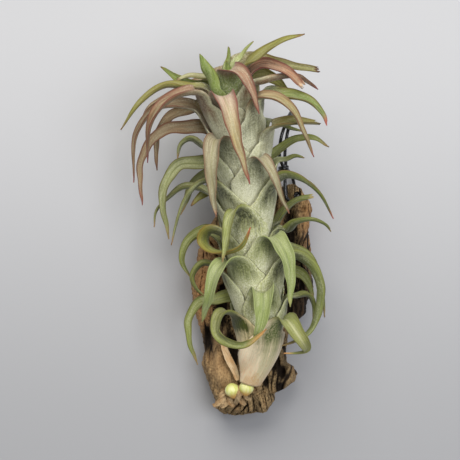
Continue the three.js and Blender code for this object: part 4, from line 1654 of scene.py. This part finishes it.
@dataclass(frozen=True)
class WireFinish:
    """Smooth black coating, a little scuffed."""

    name: str = "wire_coating"
    black: Colour = (22, 22, 25)
    scuffed: Colour = (52, 52, 56)
    scuffs: tuple[float, float] = (2.0, 0.6)
    scuff_rise: tuple[float, float] = (0.52, 0.72)
    roughness: float = 0.18
    roughness_span: float = 0.3
    specular: float = 0.6

    def build(self) -> bpy.types.Material:
        """Build the material.

        Returns:
            The material.
        """
        material, g, shader = shader_of(self.name)
        angle, along, seed = g.mark("wire_place")
        round_it, long = self.scuffs
        place = g.place(g.times(angle, round_it), g.times(along, long), seed)
        scuff = g.rise(g.noise(place, 4.0), *self.scuff_rise)
        g.put(shader.inputs["Base Color"], g.mix(scuff, linear(self.black), linear(self.scuffed)))
        g.put(shader.inputs["Roughness"], g.scaled(scuff, self.roughness_span, self.roughness))
        g.put(shader.inputs["Specular IOR Level"], self.specular)
        return material


@dataclass
class Foot:
    """The foot of the plant: its woody core, the dry scraps round it and two offset buds."""

    axis: StemAxis = StemAxis()
    spiral: Spiral = Spiral()
    core_radius: float = 4.2
    core_heights: tuple[float, float] = (5.0, 137.0)
    core_foot_share: float = 0.7
    core_foot_run: float = 4.0
    core_least_radius: float = 0.35
    core_groove: float = 0.03
    core_rings: int = 120
    core_sides: int = 24
    husks: tuple[tuple[tuple[Point, ...], float], ...] = (
        (((-4.4, -40, 33), (-4.8, -43.5, 33.4), (-5.6, -46.6, 31.4), (-6.6, -49, 29)), 1.4),
        (((-6.2, -44.5, 29.4), (-3.6, -47.6, 29.6), (-1.8, -49.4, 28.6)), 1.3),
        (((-8.6, -44.6, 28.2), (-8.8, -47.6, 28.6), (-7.4, -50.2, 28)), 1.4),
        (((-10.4, -43.6, 27.6), (-12.4, -44.2, 28.6), (-13.8, -45.8, 28)), 1.3),
        (((-11.2, -45.4, 27.8), (-12.8, -47.4, 28.4), (-16.8, -50, 27.4)), 1.5),
        (((-10, -47, 27.6), (-11, -49, 28.2), (-13.4, -50.4, 27.6)), 1.2),
        (((-3, -44, 30.4), (-1, -46.2, 29.8), (0.8, -46.8, 28.8)), 1.0),
    )
    first_husk_seed: int = 3
    scrap_rings: int = 48
    scrap_columns: int = 13
    scrap_thickness: float = 0.5
    scrap_rim: float = 0.25
    scrap_sink: float = 0.15
    scrap_curl: float = 0.35
    scrap_crumple: float = 0.25
    buds: tuple[tuple[str, Point, float, float, float], ...] = (
        ("bud_left", (-7.9, -42.6, 31.6), 3.5, 7.4, 14.0),
        ("bud_right", (-1.5, -41.4, 33.4), 3.45, 7.2, -8.0),
    )
    bud_ends: tuple[float, float] = (0.004, 0.996)
    bud_rings: int = 44
    bud_sides: int = 48
    bud_seams: int = 3
    bud_seam_depth: float = 0.22
    bud_seam_width: float = 0.16
    bud_fullness: float = 0.985
    bud_least_radius: float = 0.02
    dry_leaf: tuple[Point, ...] = (
        (-5.4, -38, 29.6), (-7, -33, 29.2), (-9.6, -28, 28.4), (-11.8, -22.5, 28),
        (-12.6, -17.5, 28.8),
    )
    dry_leaf_half_width: float = 1.7
    dry_leaf_seed: int = 21
    dry_leaf_torn: float = 0.1
    wood: DeadFinish = DeadFinish(
        "stem_wood", pale=(150, 122, 84), dark=(84, 62, 40), warm=(130, 92, 58)
    )
    husk: DeadFinish = DeadFinish(
        "husk", pale=(196, 170, 130), dark=(96, 72, 48), warm=(160, 118, 74),
        warmth=0.5, contrast=0.7, grit=0.4,
    )
    paper: DeadFinish = DeadFinish(
        "dry_paper", pale=(240, 216, 176), dark=(204, 162, 114), warm=(226, 178, 122),
        warmth=0.5, contrast=0.5, grit=0.0,
    )

    def core(self) -> tuple[Grid, dict[str, Grid]]:
        """Lay the woody core inside the leaves.

        Returns:
            Rings for a skin, and its marks.
        """
        s = self.spiral
        heights = np.linspace(*self.core_heights, self.core_rings)
        above = np.maximum(0.0, heights - s.height(s.crown_rank, 0)) / s.crown_spacing
        foot = self.core_heights[0]
        full = smooth(heights, foot, foot + self.core_foot_run)
        radii = self.core_radius * mix(self.core_foot_share, 1.0, full) - s.radius_step * above
        radii = np.maximum(self.core_least_radius, radii)
        azimuth = np.arange(self.core_sides) * (360.0 / self.core_sides)
        grooved = [radii * (1.0 - self.core_groove * (k % 2)) for k in range(self.core_sides)]
        rings = np.stack(
            [self.axis.around(heights, a, radius) for a, radius in zip(azimuth, grooved)], axis=1
        )
        wide = np.radians(azimuth) * self.core_radius
        marks = np.broadcast_arrays(wide[None, :], heights[:, None], 0.0)
        return rings, {"fibre_place": np.stack(marks, axis=-1)}

    def scrap(
        self, route: tuple[Point, ...], half_width: float, seed: int, torn: float = 0.4
    ) -> tuple[Grid, dict[str, Grid]]:
        """Lay a thin dry scrap with curled, torn edges.

        Args:
            route: Points along its middle.
            half_width: Half its greatest width.
            seed: Which tear it gets.
            torn: How far the tears reach in, as a share of the width.

        Returns:
            Rings for a skin, and its marks.
        """
        points = Spline(route).at(np.linspace(0.0, 1.0, self.scrap_rings))
        known = lengths_along(points)
        ways = unit(np.gradient(points, axis=0))
        up = unit(np.array([0.0, 0.0, 1.0]) - ways * ways[:, 2:])
        side = np.cross(ways, up)
        tear = Unevenness(seed)
        half = half_width * mix(0.5, 1.0, np.sin(math.pi * (known / known[-1]) ** 0.8))
        half, long = half[:, None], known[:, None]
        u = np.linspace(-1.0, 1.0, self.scrap_columns)[None, :]
        ragged = 1.0 + torn * tear.at(long * 0.9, 3.0 * np.sign(u)) * np.abs(u) ** 3
        over = half * u * ragged
        curl = self.scrap_curl * half * u**2 + self.scrap_crumple * tear.at(long * 0.5, u * 1.4)
        raised = up[:, None] * (curl - self.scrap_sink)[..., None]
        middle = points[:, None] + side[:, None] * over[..., None] + raised
        thick = mix(self.scrap_thickness, self.scrap_rim, u**2)[..., None] / 2.0
        wide = both_ways(over, over)
        place = np.broadcast_arrays(wide, long, float(seed))
        return sheet_rings(middle, up[:, None], thick), {"fibre_place": np.stack(place, axis=-1)}

    def bud(
        self, centre: Point, radius: float, length: float, lean: float, seed: int
    ) -> tuple[Grid, dict[str, Grid]]:
        """Lay a bud of overlapping scales.

        Args:
            centre: Its middle.
            radius: Its greatest radius.
            length: Its length.
            lean: Its lean to the side, in degrees.
            seed: How its scales are turned.

        Returns:
            Rings for a skin, and its marks.
        """
        share = np.linspace(*self.bud_ends, self.bud_rings)[:, None]
        angle = np.linspace(0.0, 2.0 * math.pi, self.bud_sides, endpoint=False)[None, :]
        swell = np.sin(math.pi * share**0.85) ** 0.7
        seam = np.abs(np.sin(self.bud_seams / 2.0 * angle + seed + 1.6 * share))
        ridge = -self.bud_seam_depth * bump(seam, 0.0, self.bud_seam_width)
        ridge = ridge * smooth(share, 0.1, 0.4)
        reach = np.maximum(radius * swell * self.bud_fullness + ridge, self.bud_least_radius)
        x, z = reach * np.cos(angle), reach * np.sin(angle)
        y = mix(length / 2.0, -length / 2.0, share)
        cosine, sine = math.cos(math.radians(lean)), math.sin(math.radians(lean))
        rings = np.stack([x * cosine - y * sine, x * sine + y * cosine, z], axis=-1)
        marks = np.broadcast_arrays(np.cos(angle), 1.0 - share, float(seed))
        return rings + np.array(centre), {"bud_share": np.stack(marks, axis=-1)}

    def stem(self, effects: Effects) -> bpy.types.Object:
        """Build and dress the woody core with its husks.

        Args:
            effects: The shared node groups.

        Returns:
            The piece.
        """
        parts = [skin("core", *self.core())]
        parts[0].data.materials.append(self.wood.build(effects))
        husk = self.husk.build(effects)
        for number, (route, half_width) in enumerate(self.husks):
            rings, marks = self.scrap(route, half_width, number + self.first_husk_seed)
            part = skin(f"husk_{number}", rings, marks)
            part.data.materials.append(husk)
            parts.append(part)
        return joined("core_and_husks", parts)

    def build(self, effects: Effects) -> list[tuple[bpy.types.Object, str, str]]:
        """Build and dress the foot.

        Args:
            effects: The shared node groups.

        Returns:
            Each piece, with the solid that it stands for and its material slot.
        """
        made = [(self.stem(effects), "stem", "stem")]
        scales = BudFinish().build()
        for number, (node, *shape) in enumerate(self.buds):
            piece = skin("scaly_" + node, *self.bud(*shape, seed=2 * number + 1))
            piece.data.materials.append(scales)
            made.append((piece, node, "bud"))
        scrap = self.scrap(
            self.dry_leaf, self.dry_leaf_half_width, self.dry_leaf_seed, self.dry_leaf_torn
        )
        piece = skin("withered_leaf", *scrap)
        piece.data.materials.append(self.paper.build(effects))
        return [*made, (piece, "dry_leaf", "dry_leaf")]


def joined(name: str, parts: list[bpy.types.Object]) -> bpy.types.Object:
    """Join pieces into one.

    Args:
        name: Name of the whole.
        parts: Pieces, of which the first is kept.

    Returns:
        The whole.
    """
    whole = parts[0]
    with bpy.context.temp_override(
        active_object=whole, object=whole, selected_objects=parts, selected_editable_objects=parts
    ):
        bpy.ops.object.join()
    whole.name = name
    return whole


@dataclass
class Bark:
    """The rough piece of bark, split along its fibres, with a bored hole for the wire.

    Edges are points along and across the bark. Waves are a height, turns across and along,
    and how fast they wander.
    """

    right_edge: tuple[tuple[float, float], ...] = (
        (-56, -6), (-54, 9), (-49, 12.4), (-45, 12.6), (-43.6, 16.5), (-40, 22.1), (-36.3, 23.3),
        (-33, 21.2), (-31.2, 18.2), (-26, 17.9), (-18, 18.9), (-11, 23.5), (-8, 27.2), (-2, 27.8),
        (4, 30.9), (17, 29.2), (22, 29.6), (30, 28.5), (36, 28.8), (41, 30), (45, 28.8),
        (49, 25.8), (52, 24.6), (54, 20.5),
    )
    left_edge: tuple[tuple[float, float], ...] = (
        (-56, -12), (-53, -16.2), (-49, -16.2), (-40, -19.8), (-32, -22.8), (-25, -21.2),
        (-17, -22.8), (-13, -24.3), (-3, -26.7), (7, -28), (14, -25.5), (22, -24.3),
        (33, -19.2), (38, -16), (43, -4), (49, 7), (54, 17.5),
    )
    thickness: float = 25.0
    side_rise: float = 7.0
    back_flat: float = 0.76
    top_lift: float = 7.0
    foot_lift: float = 4.0
    end_share: float = 0.55
    bed_height: float = 21.3
    bed_spread: float = 13.0
    bed_rise: tuple[float, float] = (-37.0, -29.0)
    bed_firmness: float = 1.6
    seat_height: float = 26.4
    seat: tuple[Patch, ...] = ((0, -42, 9, 8, 1.5),)
    waves: tuple[tuple[float, float, float, float], ...] = (
        (1.1, 0.9, 0.0, 0.11),
        (0.9, 0.0, 0.35, 0.21),
        (0.6, 0.47, -0.53, 0.07),
    )
    wander: float = 2.0
    relief: tuple[Patch, ...] = (
        (25, 26, 5, 28, 3),
        (18, 24, 3, 22, -8),
        (-19.5, -20, 3, 8, -11),
        (-13, -34, 8, 12, 1.5),
        (21, -38, 4, 7, -4),
        (-12, -6, 4, 13, -7),
        (7.5, -39, 1.8, 3, -6),
        (15.5, -35, 1.6, 3, -7),
        (14.5, -42, 1.8, 2.5, -6),
        (-7, -26, 2, 7, -6),
        (24, 41, 4, 1.2, -3),
        (27, 36.5, 4, 1.4, -2.5),
    )
    slab: tuple[Patch, ...] = ((-12, -32, 9, 13, 1),)
    slab_smoothness: float = 0.85
    slab_least: float = 0.35
    pale_lobe: tuple[Patch, ...] = ((-22, 20, 6, 18, 0.7),)
    blocks: tuple[Patch, ...] = ((-22, 14, 7, 24, 1),)
    split_depth: float = 2.6
    crack_depth: float = 1.2
    block_depth: float = 1.8
    break_depth: float = 0.9
    # How much painted shade darkens the splits and the cracks
    split_dark: float = 0.6
    crack_dark: float = 0.3
    # Painted shadows of the leaves on the bark, and painted shade in its hollows: across, along,
    # spread across, spread along, strength
    shadows: tuple[Patch, ...] = (
        (-13, -5, 3.6, 12, 0.9),
        (-19.5, -20, 2.6, 7, 0.9),
        (18, 24, 2.6, 22, 0.8),
        (7.5, -39, 1.6, 2.8, 0.9),
        (15.5, -35, 1.6, 2.8, 0.9),
        (14.5, -42, 1.6, 2.8, 0.9),
        (25, 0, 7, 25, 0.4),
        (-7.2, -26, 2.2, 8, 1.2),
        (-9.5, -19, 1.6, 4, 0.7),
        (14, -28, 6, 12, 0.4),
        (22, -6, 6, 16, 0.3),
        (22, 28, 5, 14, 0.35),
        (4, -51, 11, 8, 0.22),
    )
    broken: tuple[Patch, ...] = ((-22, 6, 7, 26, 1), (25.5, -6, 3.5, 6, 1), (28, 34, 4, 14, 0.8))
    # How much of the painted shade in the splits the back carries
    back_dark: float = 0.2
    hole: tuple[float, float] = (22.4, 47.6)
    hole_radius: float = 1.5
    hole_shadow: float = 0.6
    end_run: float = 8.0
    pit_depth: float = 0.7
    thinnest: float = 0.2
    stations: int = 250
    columns: int = 118
    axis: StemAxis = StemAxis()
    noise: Unevenness = field(default_factory=lambda: Unevenness(11))
    finish: BarkFinish = BarkFinish(
        "bark_weathered", pale=(186, 158, 114), dark=(56, 42, 26), warm=(152, 112, 72),
        warmth=0.3, contrast=0.6, grit=0.5, relief_mm=0.8,
    )

    def front(self, x: Grid, y: Grid) -> Grid:
        """Work out the front's main form, without its crevices.

        Args:
            x: Places across the bark.
            y: Places along it.

        Returns:
            Heights.
        """
        height = self.thickness + patches(x, y, self.relief)
        for rise, wide, long, wander in self.waves:
            height += rise * np.sin(x * wide + y * long + self.wander * np.sin((x + y) * wander))
        bedded = bump(x, self.axis.across(y), self.bed_spread) * smooth(y, *self.bed_rise)
        bedded = np.minimum(1.0, self.bed_firmness * bedded)
        height = mix(height, np.minimum(height, self.bed_height), bedded)
        return mix(height, self.seat_height, np.minimum(1.0, patches(x, y, self.seat)))

    def crevices(self, x: Grid, y: Grid) -> tuple[Grid, Grid]:
        """Work out how the surface is split and broken.

        Each texture is noise read at its own scale, in lumps to a millimetre.

        Args:
            x: Places across the bark.
            y: Places along it.

        Returns:
            Depths in millimetres, and how much painted shade darkens the splits and cracks, from 0
            to 1.
        """
        n = self.noise
        wander = 2.2 * n.at(x * 0.06, y * 0.05)
        split = smooth(np.abs(n.at(x * 0.30 + 0.5 * wander, y * 0.04 + 7.0)), 0.10, 0.0)
        crack = smooth(np.abs(n.at(x * 0.8 + wander, y * 0.09 + 31.0)), 0.13, 0.0)
        cross = smooth(np.abs(n.at(x * 0.14 + 17.0, y * 0.26 + wander)), 0.10, 0.0)
        rough = np.clip(1.0 - self.slab_smoothness * patches(x, y, self.slab), 0.0, 1.0)
        textured = mix(self.slab_least, 1.0, rough)
        in_blocks = cross * patches(x, y, self.blocks)
        broken = cross * rough * smooth(n.at(x * 0.05, y * 0.05), 0.0, 0.5)
        depth = self.split_depth * split * rough + self.crack_depth * crack * textured
        depth += self.block_depth * in_blocks + self.break_depth * broken
        # Painted shade in the splits, the cracks and between the blocks
        dark = self.split_dark * split * rough + self.crack_dark * (crack * rough + in_blocks)
        lumps = 1.2 * np.maximum(0.0, n.at(x * 0.2 + 5.0, y * 0.13))
        lumps += 0.8 * n.at(x * 0.55, y * 0.22) ** 2
        crumbs = 0.9 * np.abs(n.at(x * 0.75 + 60.0, y * 0.5))
        crumbs += 0.5 * np.abs(n.at(x * 1.1, y * 0.9 + 80.0))
        fibres = 0.3 * np.abs(n.at(x * 1.7 + wander, y * 0.2))
        return depth + (lumps + crumbs) * textured + fibres, np.clip(dark, 0.0, 1.0)

    def outline(self, y: Grid) -> tuple[Grid, Grid]:
        """Work out the edges, chipped inwards here and there.

        Args:
            y: Places along the bark.

        Returns:
            Places of the left and the right edge across it.
        """
        left, right = (
            np.interp(y, *np.array(edge, float).T) for edge in (self.left_edge, self.right_edge)
        )
        coarse, fine = (
            [np.abs(self.noise.at(y * scale, side + shift)) for side in (0.5, 9.5)]
            for scale, shift in ((0.5, 0.0), (1.3, 4.0))
        )
        chips = [0.5 * large + 0.3 * small for large, small in zip(coarse, fine)]
        return left + chips[0], right - chips[1]

    def rings(self) -> tuple[Grid, dict[str, Grid]]:
        """Lay the sections of the bark, from its foot to its top.

        Returns:
            Rings for a skin, and the marks that the bark's material reads.
        """
        foot, top = self.left_edge[0][0], self.left_edge[-1][0]
        stations = np.linspace(foot, top, self.stations)[:, None]
        share = np.linspace(0.0, 1.0, self.columns)[None, :]
        eased = 0.5 - 0.5 * np.cos(math.pi * share)
        left, right = self.outline(stations)
        x = mix(left, right, (share + eased) / 2.0)
        fray = 1.2 + 1.2 * self.noise.at(x * 0.45, 0.5) + 0.6 * self.noise.at(x * 1.4, 3.5)
        ends = smooth(stations, foot + self.end_run, foot)
        ends = ends - 0.7 * smooth(stations, top - self.end_run, top)
        y = stations + np.abs(fray) * ends
        from_foot = smooth(stations, foot - 2.0, foot + 5.0)
        from_top = smooth(-stations, -top - 2.0, -top + 5.0)
        at_end = 1.0 - np.minimum(from_foot, from_top)
        lift = self.top_lift * smooth(stations, top - 24.0, top - 12.0)
        lift = lift + self.foot_lift * (1.0 - smooth(stations, foot, foot + 7.0))
        low = lift + self.side_rise
        crown = (1.0 - np.abs(2.0 * share - 1.0) ** 5) ** 0.6
        depth, dark = self.crevices(x, y)
        depth = depth * smooth(crown, 0.0, 0.9)
        full = np.maximum(self.front(x, y) - depth - low, 0.4) * crown
        front = low + full * mix(1.0, self.end_share, at_end) + 0.1
        wide = np.abs(2.0 * (x - left) / (right - left) - 1.0)
        outside = np.maximum(0.0, wide - self.back_flat) / (1.0 - self.back_flat)
        pits = smooth(np.abs(self.noise.at(x * 0.5 + 40.0, y * 0.07)), 0.2, 0.0)
        pits = self.pit_depth * pits * (1.0 - np.minimum(1.0, outside))
        back = np.minimum(lift + self.side_rise * outside**2 + pits, front - self.thinnest)
        rings = np.stack([both_ways(x, x), both_ways(y, y), both_ways(front, back)], axis=-1)
        return rings, self.marks(rings, both_ways(dark, self.back_dark * dark))

    def bored(self, rings: Grid) -> tuple[Grid, Grid]:
        """Bore the wire's hole through the bark, from front to back.

        Args:
            rings: The sections of the whole bark.

        Returns:
            Points, and faces with the hole's rims drawn round and its wall closed.
        """
        count, size = rings.shape[:2]
        half = size // 2
        points = rings.reshape(-1, 3).copy()
        number = np.arange(count * size).reshape(count, size)
        front, back = number[:, :half], number[:, ::-1][:, :half]
        away = points[front][..., :2] - self.hole
        middle = (away[1:, 1:] + away[1:, :-1] + away[:-1, 1:] + away[:-1, :-1]) / 4.0
        gone = np.hypot(middle[..., 0], middle[..., 1]) < self.hole_radius
        faces = skin_faces(count, size)
        kept = np.ones(len(faces), bool)
        sides = kept[: (count - 1) * size].reshape(count - 1, size)
        sides[:, : half - 1][gone] = False
        sides[:, ::-1][:, 1:half][gone] = False
        corners = ((0, 0), (0, 1), (1, 1), (1, 0))
        walls = []
        for k, (up, right) in enumerate(((-1, 0), (0, 1), (1, 0), (0, -1))):
            beyond = np.roll(gone, (-up, -right), axis=(0, 1))
            i, j = np.nonzero(gone & ~beyond)
            (a_up, a_right), (b_up, b_right) = corners[k], corners[(k + 1) % 4]
            a, b = (i + a_up, j + a_right), (i + b_up, j + b_right)
            walls.append(np.stack([front[a], front[b], back[b], back[a]], axis=-1))
        wall = np.concatenate(walls)
        rim = np.unique(wall)
        points[rim, :2] = self.hole + unit(points[rim, :2] - self.hole) * self.hole_radius
        return points, np.concatenate([faces[kept], wall])

    def marks(self, rings: Grid, dark: Grid) -> dict[str, Grid]:
        """Mark the painted shade in the crevices, under the leaves and round the hole, the reddish
        broken faces and the smooth slab.

        Args:
            rings: The sections of the whole bark.
            dark: How much painted shade darkens the splits and cracks.

        Returns:
            The marks by name.
        """
        x, y, z = np.moveaxis(rings, -1, 0)
        away = np.hypot(x - self.hole[0], y - self.hole[1])
        # Painted shadows of the leaves and painted shade in the hollows, then round the hole
        dark = dark + patches(x, y, self.shadows)
        dark += smooth(away, self.hole_radius + self.hole_shadow, self.hole_radius)
        red = np.clip(patches(x, y, self.broken), 0.0, 1.0)
        pale = patches(x, y, self.slab + self.pale_lobe)
        wander = 2.0 * self.noise.at(x * 0.06, y * 0.05)
        return {
            "fibre_place": np.stack([x + wander, y, 0.5 * z], axis=-1),
            "bark_zone": np.stack([np.clip(dark, 0.0, 1.0), red, pale], axis=-1),
        }

    def build(self, effects: Effects) -> bpy.types.Object:
        """Build and dress the bark.

        Args:
            effects: The shared node groups.

        Returns:
            The piece.
        """
        rings, marks = self.rings()
        points, faces = self.bored(rings)
        used, faces = np.unique(faces, return_inverse=True)
        marks = {name: values.reshape(-1, 3)[used] for name, values in marks.items()}
        piece = mesh_piece("weathered_bark", points[used], faces.reshape(-1, 4), marks)
        piece.data.materials.append(self.finish.build(effects))
        return piece


@dataclass
class HangingWire:
    """A stiff coated wire: through the bark, round its top, twisted, and bent up into a loop."""

    radius: float = 0.78
    rounding: float = 0.5
    end_share: float = 0.02
    route: tuple[Point, ...] = (
        (14, 57, 32), (16.4, 59, 31.6), (15, 61.5, 33.4), (13.6, 66, 37), (14.4, 74, 40.5),
        (17.2, 82, 39), (19.2, 85.6, 33), (18.8, 82, 26.6), (17.2, 74, 24.4), (16.4, 66, 26.8),
        (16.6, 61.5, 29.6), (15, 59.2, 29.2), (16.2, 56, 31), (16.4, 51, 31.6), (17.2, 46, 31.2),
        (19.4, 44.4, 30.2), (21.8, 46, 28.6), (22.4, 47.6, 24), (22.4, 47.6, 12), (22.4, 48, 6),
        (22, 51, 3.6), (20.6, 56.6, 5), (18, 60, 12), (15.6, 60.2, 21), (13.6, 58.6, 27.6),
    )
    steps: int = 720
    sides: int = 16
    knot_centre: Point = (15.7, 59.0, 30.8)
    knot_turns: float = 3.0
    knot_radius: float = 1.75
    knot_length: float = 3.4
    knot_steps: int = 120

    def strand(self, points: Grid, seed: int) -> tuple[Grid, dict[str, Grid]]:
        """Lay a round strand with rounded ends along points.

        Args:
            points: Its middle line.
            seed: Which scuffs it gets.

        Returns:
            Rings for a skin, and its marks.
        """
        known = lengths_along(points)
        to_end = np.minimum(np.minimum(known, known[-1] - known) / self.rounding, 1.0)
        radii = self.radius * np.sqrt(np.clip(1.0 - (1.0 - to_end) ** 2, self.end_share, 1.0))
        angle = np.cos(2.0 * math.pi * np.arange(self.sides) / self.sides)
        marks = np.broadcast_arrays(angle[None, :], known[:, None], float(seed))
        return tube_rings(points, radii, self.sides), {"wire_place": np.stack(marks, axis=-1)}

    def knot(self) -> Grid:
        """Wind the short end round the neck of the loop.

        Returns:
            Points along its middle line.
        """
        share = np.linspace(0.0, 1.0, self.knot_steps)
        angle = 2.0 * math.pi * self.knot_turns * share
        across, out = self.knot_radius * np.cos(angle), self.knot_radius * np.sin(angle)
        turns = np.stack([across, (share - 0.5) * self.knot_length, out], axis=-1)
        return turns + self.knot_centre

    def build(self) -> bpy.types.Object:
        """Build and dress the wire.

        Returns:
            The piece.
        """
        material = WireFinish().build()
        line = Spline(self.route).at(np.linspace(0.0, 1.0, self.steps))
        parts = [
            skin("strand", *self.strand(line, 1)),
            skin("wrap", *self.strand(self.knot(), 2)),
        ]
        for part in parts:
            part.data.materials.append(material)
        return joined("coated_wire", parts)


@dataclass(frozen=True)
class Lamp:
    """A square soft light: its place and side in metres, its power in watts, its colour."""

    name: str
    place: Point
    size: float
    power: float
    colour: Colour

    def hang(self, aim: Point) -> None:
        """Hang the light.

        Args:
            aim: The place that it shines at, in metres.
        """
        data = bpy.data.lights.new(self.name, "AREA")
        data.size = self.size
        data.energy = self.power
        data.color = linear(self.colour)[:3]
        lamp = bpy.data.objects.new(self.name, data)
        lamp.location = self.place
        way = Vector(aim) - lamp.location
        lamp.rotation_euler = way.to_track_quat("-Z", "Y").to_euler()
        lamp.visible_camera = False
        bpy.context.scene.collection.objects.link(lamp)


@dataclass
class Studio:
    """A pale floor with painted shade towards its low side, soft light from above and from the
    crown's side, and the camera.
    """

    camera_mm: Point = (-9.0, 31.5, 850.0)
    lens_mm: float = 139.13
    sensor_mm: float = 36.0
    sight: float = 10.0
    floor_reach: float = 1500.0
    floor_height: float = -0.05
    floor_colour: Colour = (200, 201, 204)
    # Painted shade towards the floor's low side, and where it fades out
    floor_near: Colour = (172, 173, 176)
    floor_rise: tuple[float, float] = (-90.0, 130.0)
    floor_roughness: float = 0.8
    floor_specular: float = 0.2
    sky_colour: Colour = (225, 228, 232)
    sky_strength: float = 0.26
    aim: Point = (0.0, 0.03, 0.04)
    lamps: tuple[Lamp, ...] = (
        Lamp("key", (-0.12, 0.62, 0.85), 0.7, 9.2, (255, 251, 244)),
        Lamp("fill", (0.38, 0.02, 1.05), 0.5, 5.2, (250, 251, 255)),
    )

    def floor(self) -> bpy.types.Object:
        """Lay the floor just under the object, painted darker towards its low side as if the light
        fell off there.

        Returns:
            The floor.
        """
        ends = (-self.floor_reach, self.floor_reach)
        grid = np.array([[x, y, self.floor_height] for y in ends for x in ends])
        piece = mesh_piece("floor", grid, np.array([[0, 1, 3, 2]]), {"floor_place": grid})
        material, g, shader = shader_of("pale_floor")
        _, y, _ = g.mark("floor_place")
        # Painted shade: the floor darkens towards its low side
        low_shade, far = linear(self.floor_near), linear(self.floor_colour)
        g.put(shader.inputs["Base Color"], g.mix(g.rise(y, *self.floor_rise), low_shade, far))
        g.put(shader.inputs["Roughness"], self.floor_roughness)
        g.put(shader.inputs["Specular IOR Level"], self.floor_specular)
        piece.data.materials.append(material)
        return piece

    def sky(self) -> None:
        """Fill the surroundings with even pale light."""
        world = bpy.data.worlds.new("studio")
        world.use_nodes = True
        background = world.node_tree.nodes["Background"]
        background.inputs["Color"].default_value = linear(self.sky_colour)
        background.inputs["Strength"].default_value = self.sky_strength
        bpy.context.scene.world = world

    def camera(self) -> None:
        """Set the camera straight above the object, as the photograph sees it."""
        data = bpy.data.cameras.new("camera")
        data.lens = self.lens_mm
        data.sensor_width = self.sensor_mm
        data.clip_end = self.sight
        camera = bpy.data.objects.new("camera", data)
        camera.location = tuple(value * MM for value in self.camera_mm)
        bpy.context.scene.collection.objects.link(camera)
        bpy.context.scene.camera = camera

    def build(self) -> bpy.types.Object:
        """Set up the whole studio.

        Returns:
            The floor.
        """
        floor = self.floor()
        for lamp in self.lamps:
            lamp.hang(self.aim)
        self.sky()
        self.camera()
        bpy.context.scene.view_settings.view_transform = "Standard"
        return floor


def settle(piece: bpy.types.Object, node: str) -> None:
    """Fix a piece to the model in place of a solid, and report it.

    Args:
        piece: The finished piece.
        node: The solid that it stands for.
    """
    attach(piece, BODY)
    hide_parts(node)
    LOG.info("%s stands for %s, %d faces", piece.name, node, len(piece.data.polygons))


def main() -> None:
    """Build, dress and light the whole object."""
    logging.basicConfig(level=logging.INFO, format="%(message)s")
    Studio().build()
    effects = Effects()
    materials = {look: look.value.build(effects) for look in LeafLook}
    for leaf in LEAVES:
        settle(leaf.build(materials), leaf.node)
    for piece, node, slot in Foot().build(effects):
        settle(piece, node)
    settle(Bark().build(effects), "bark")
    settle(HangingWire().build(), "hanging_wire")


if __name__ == "__main__":
    main()
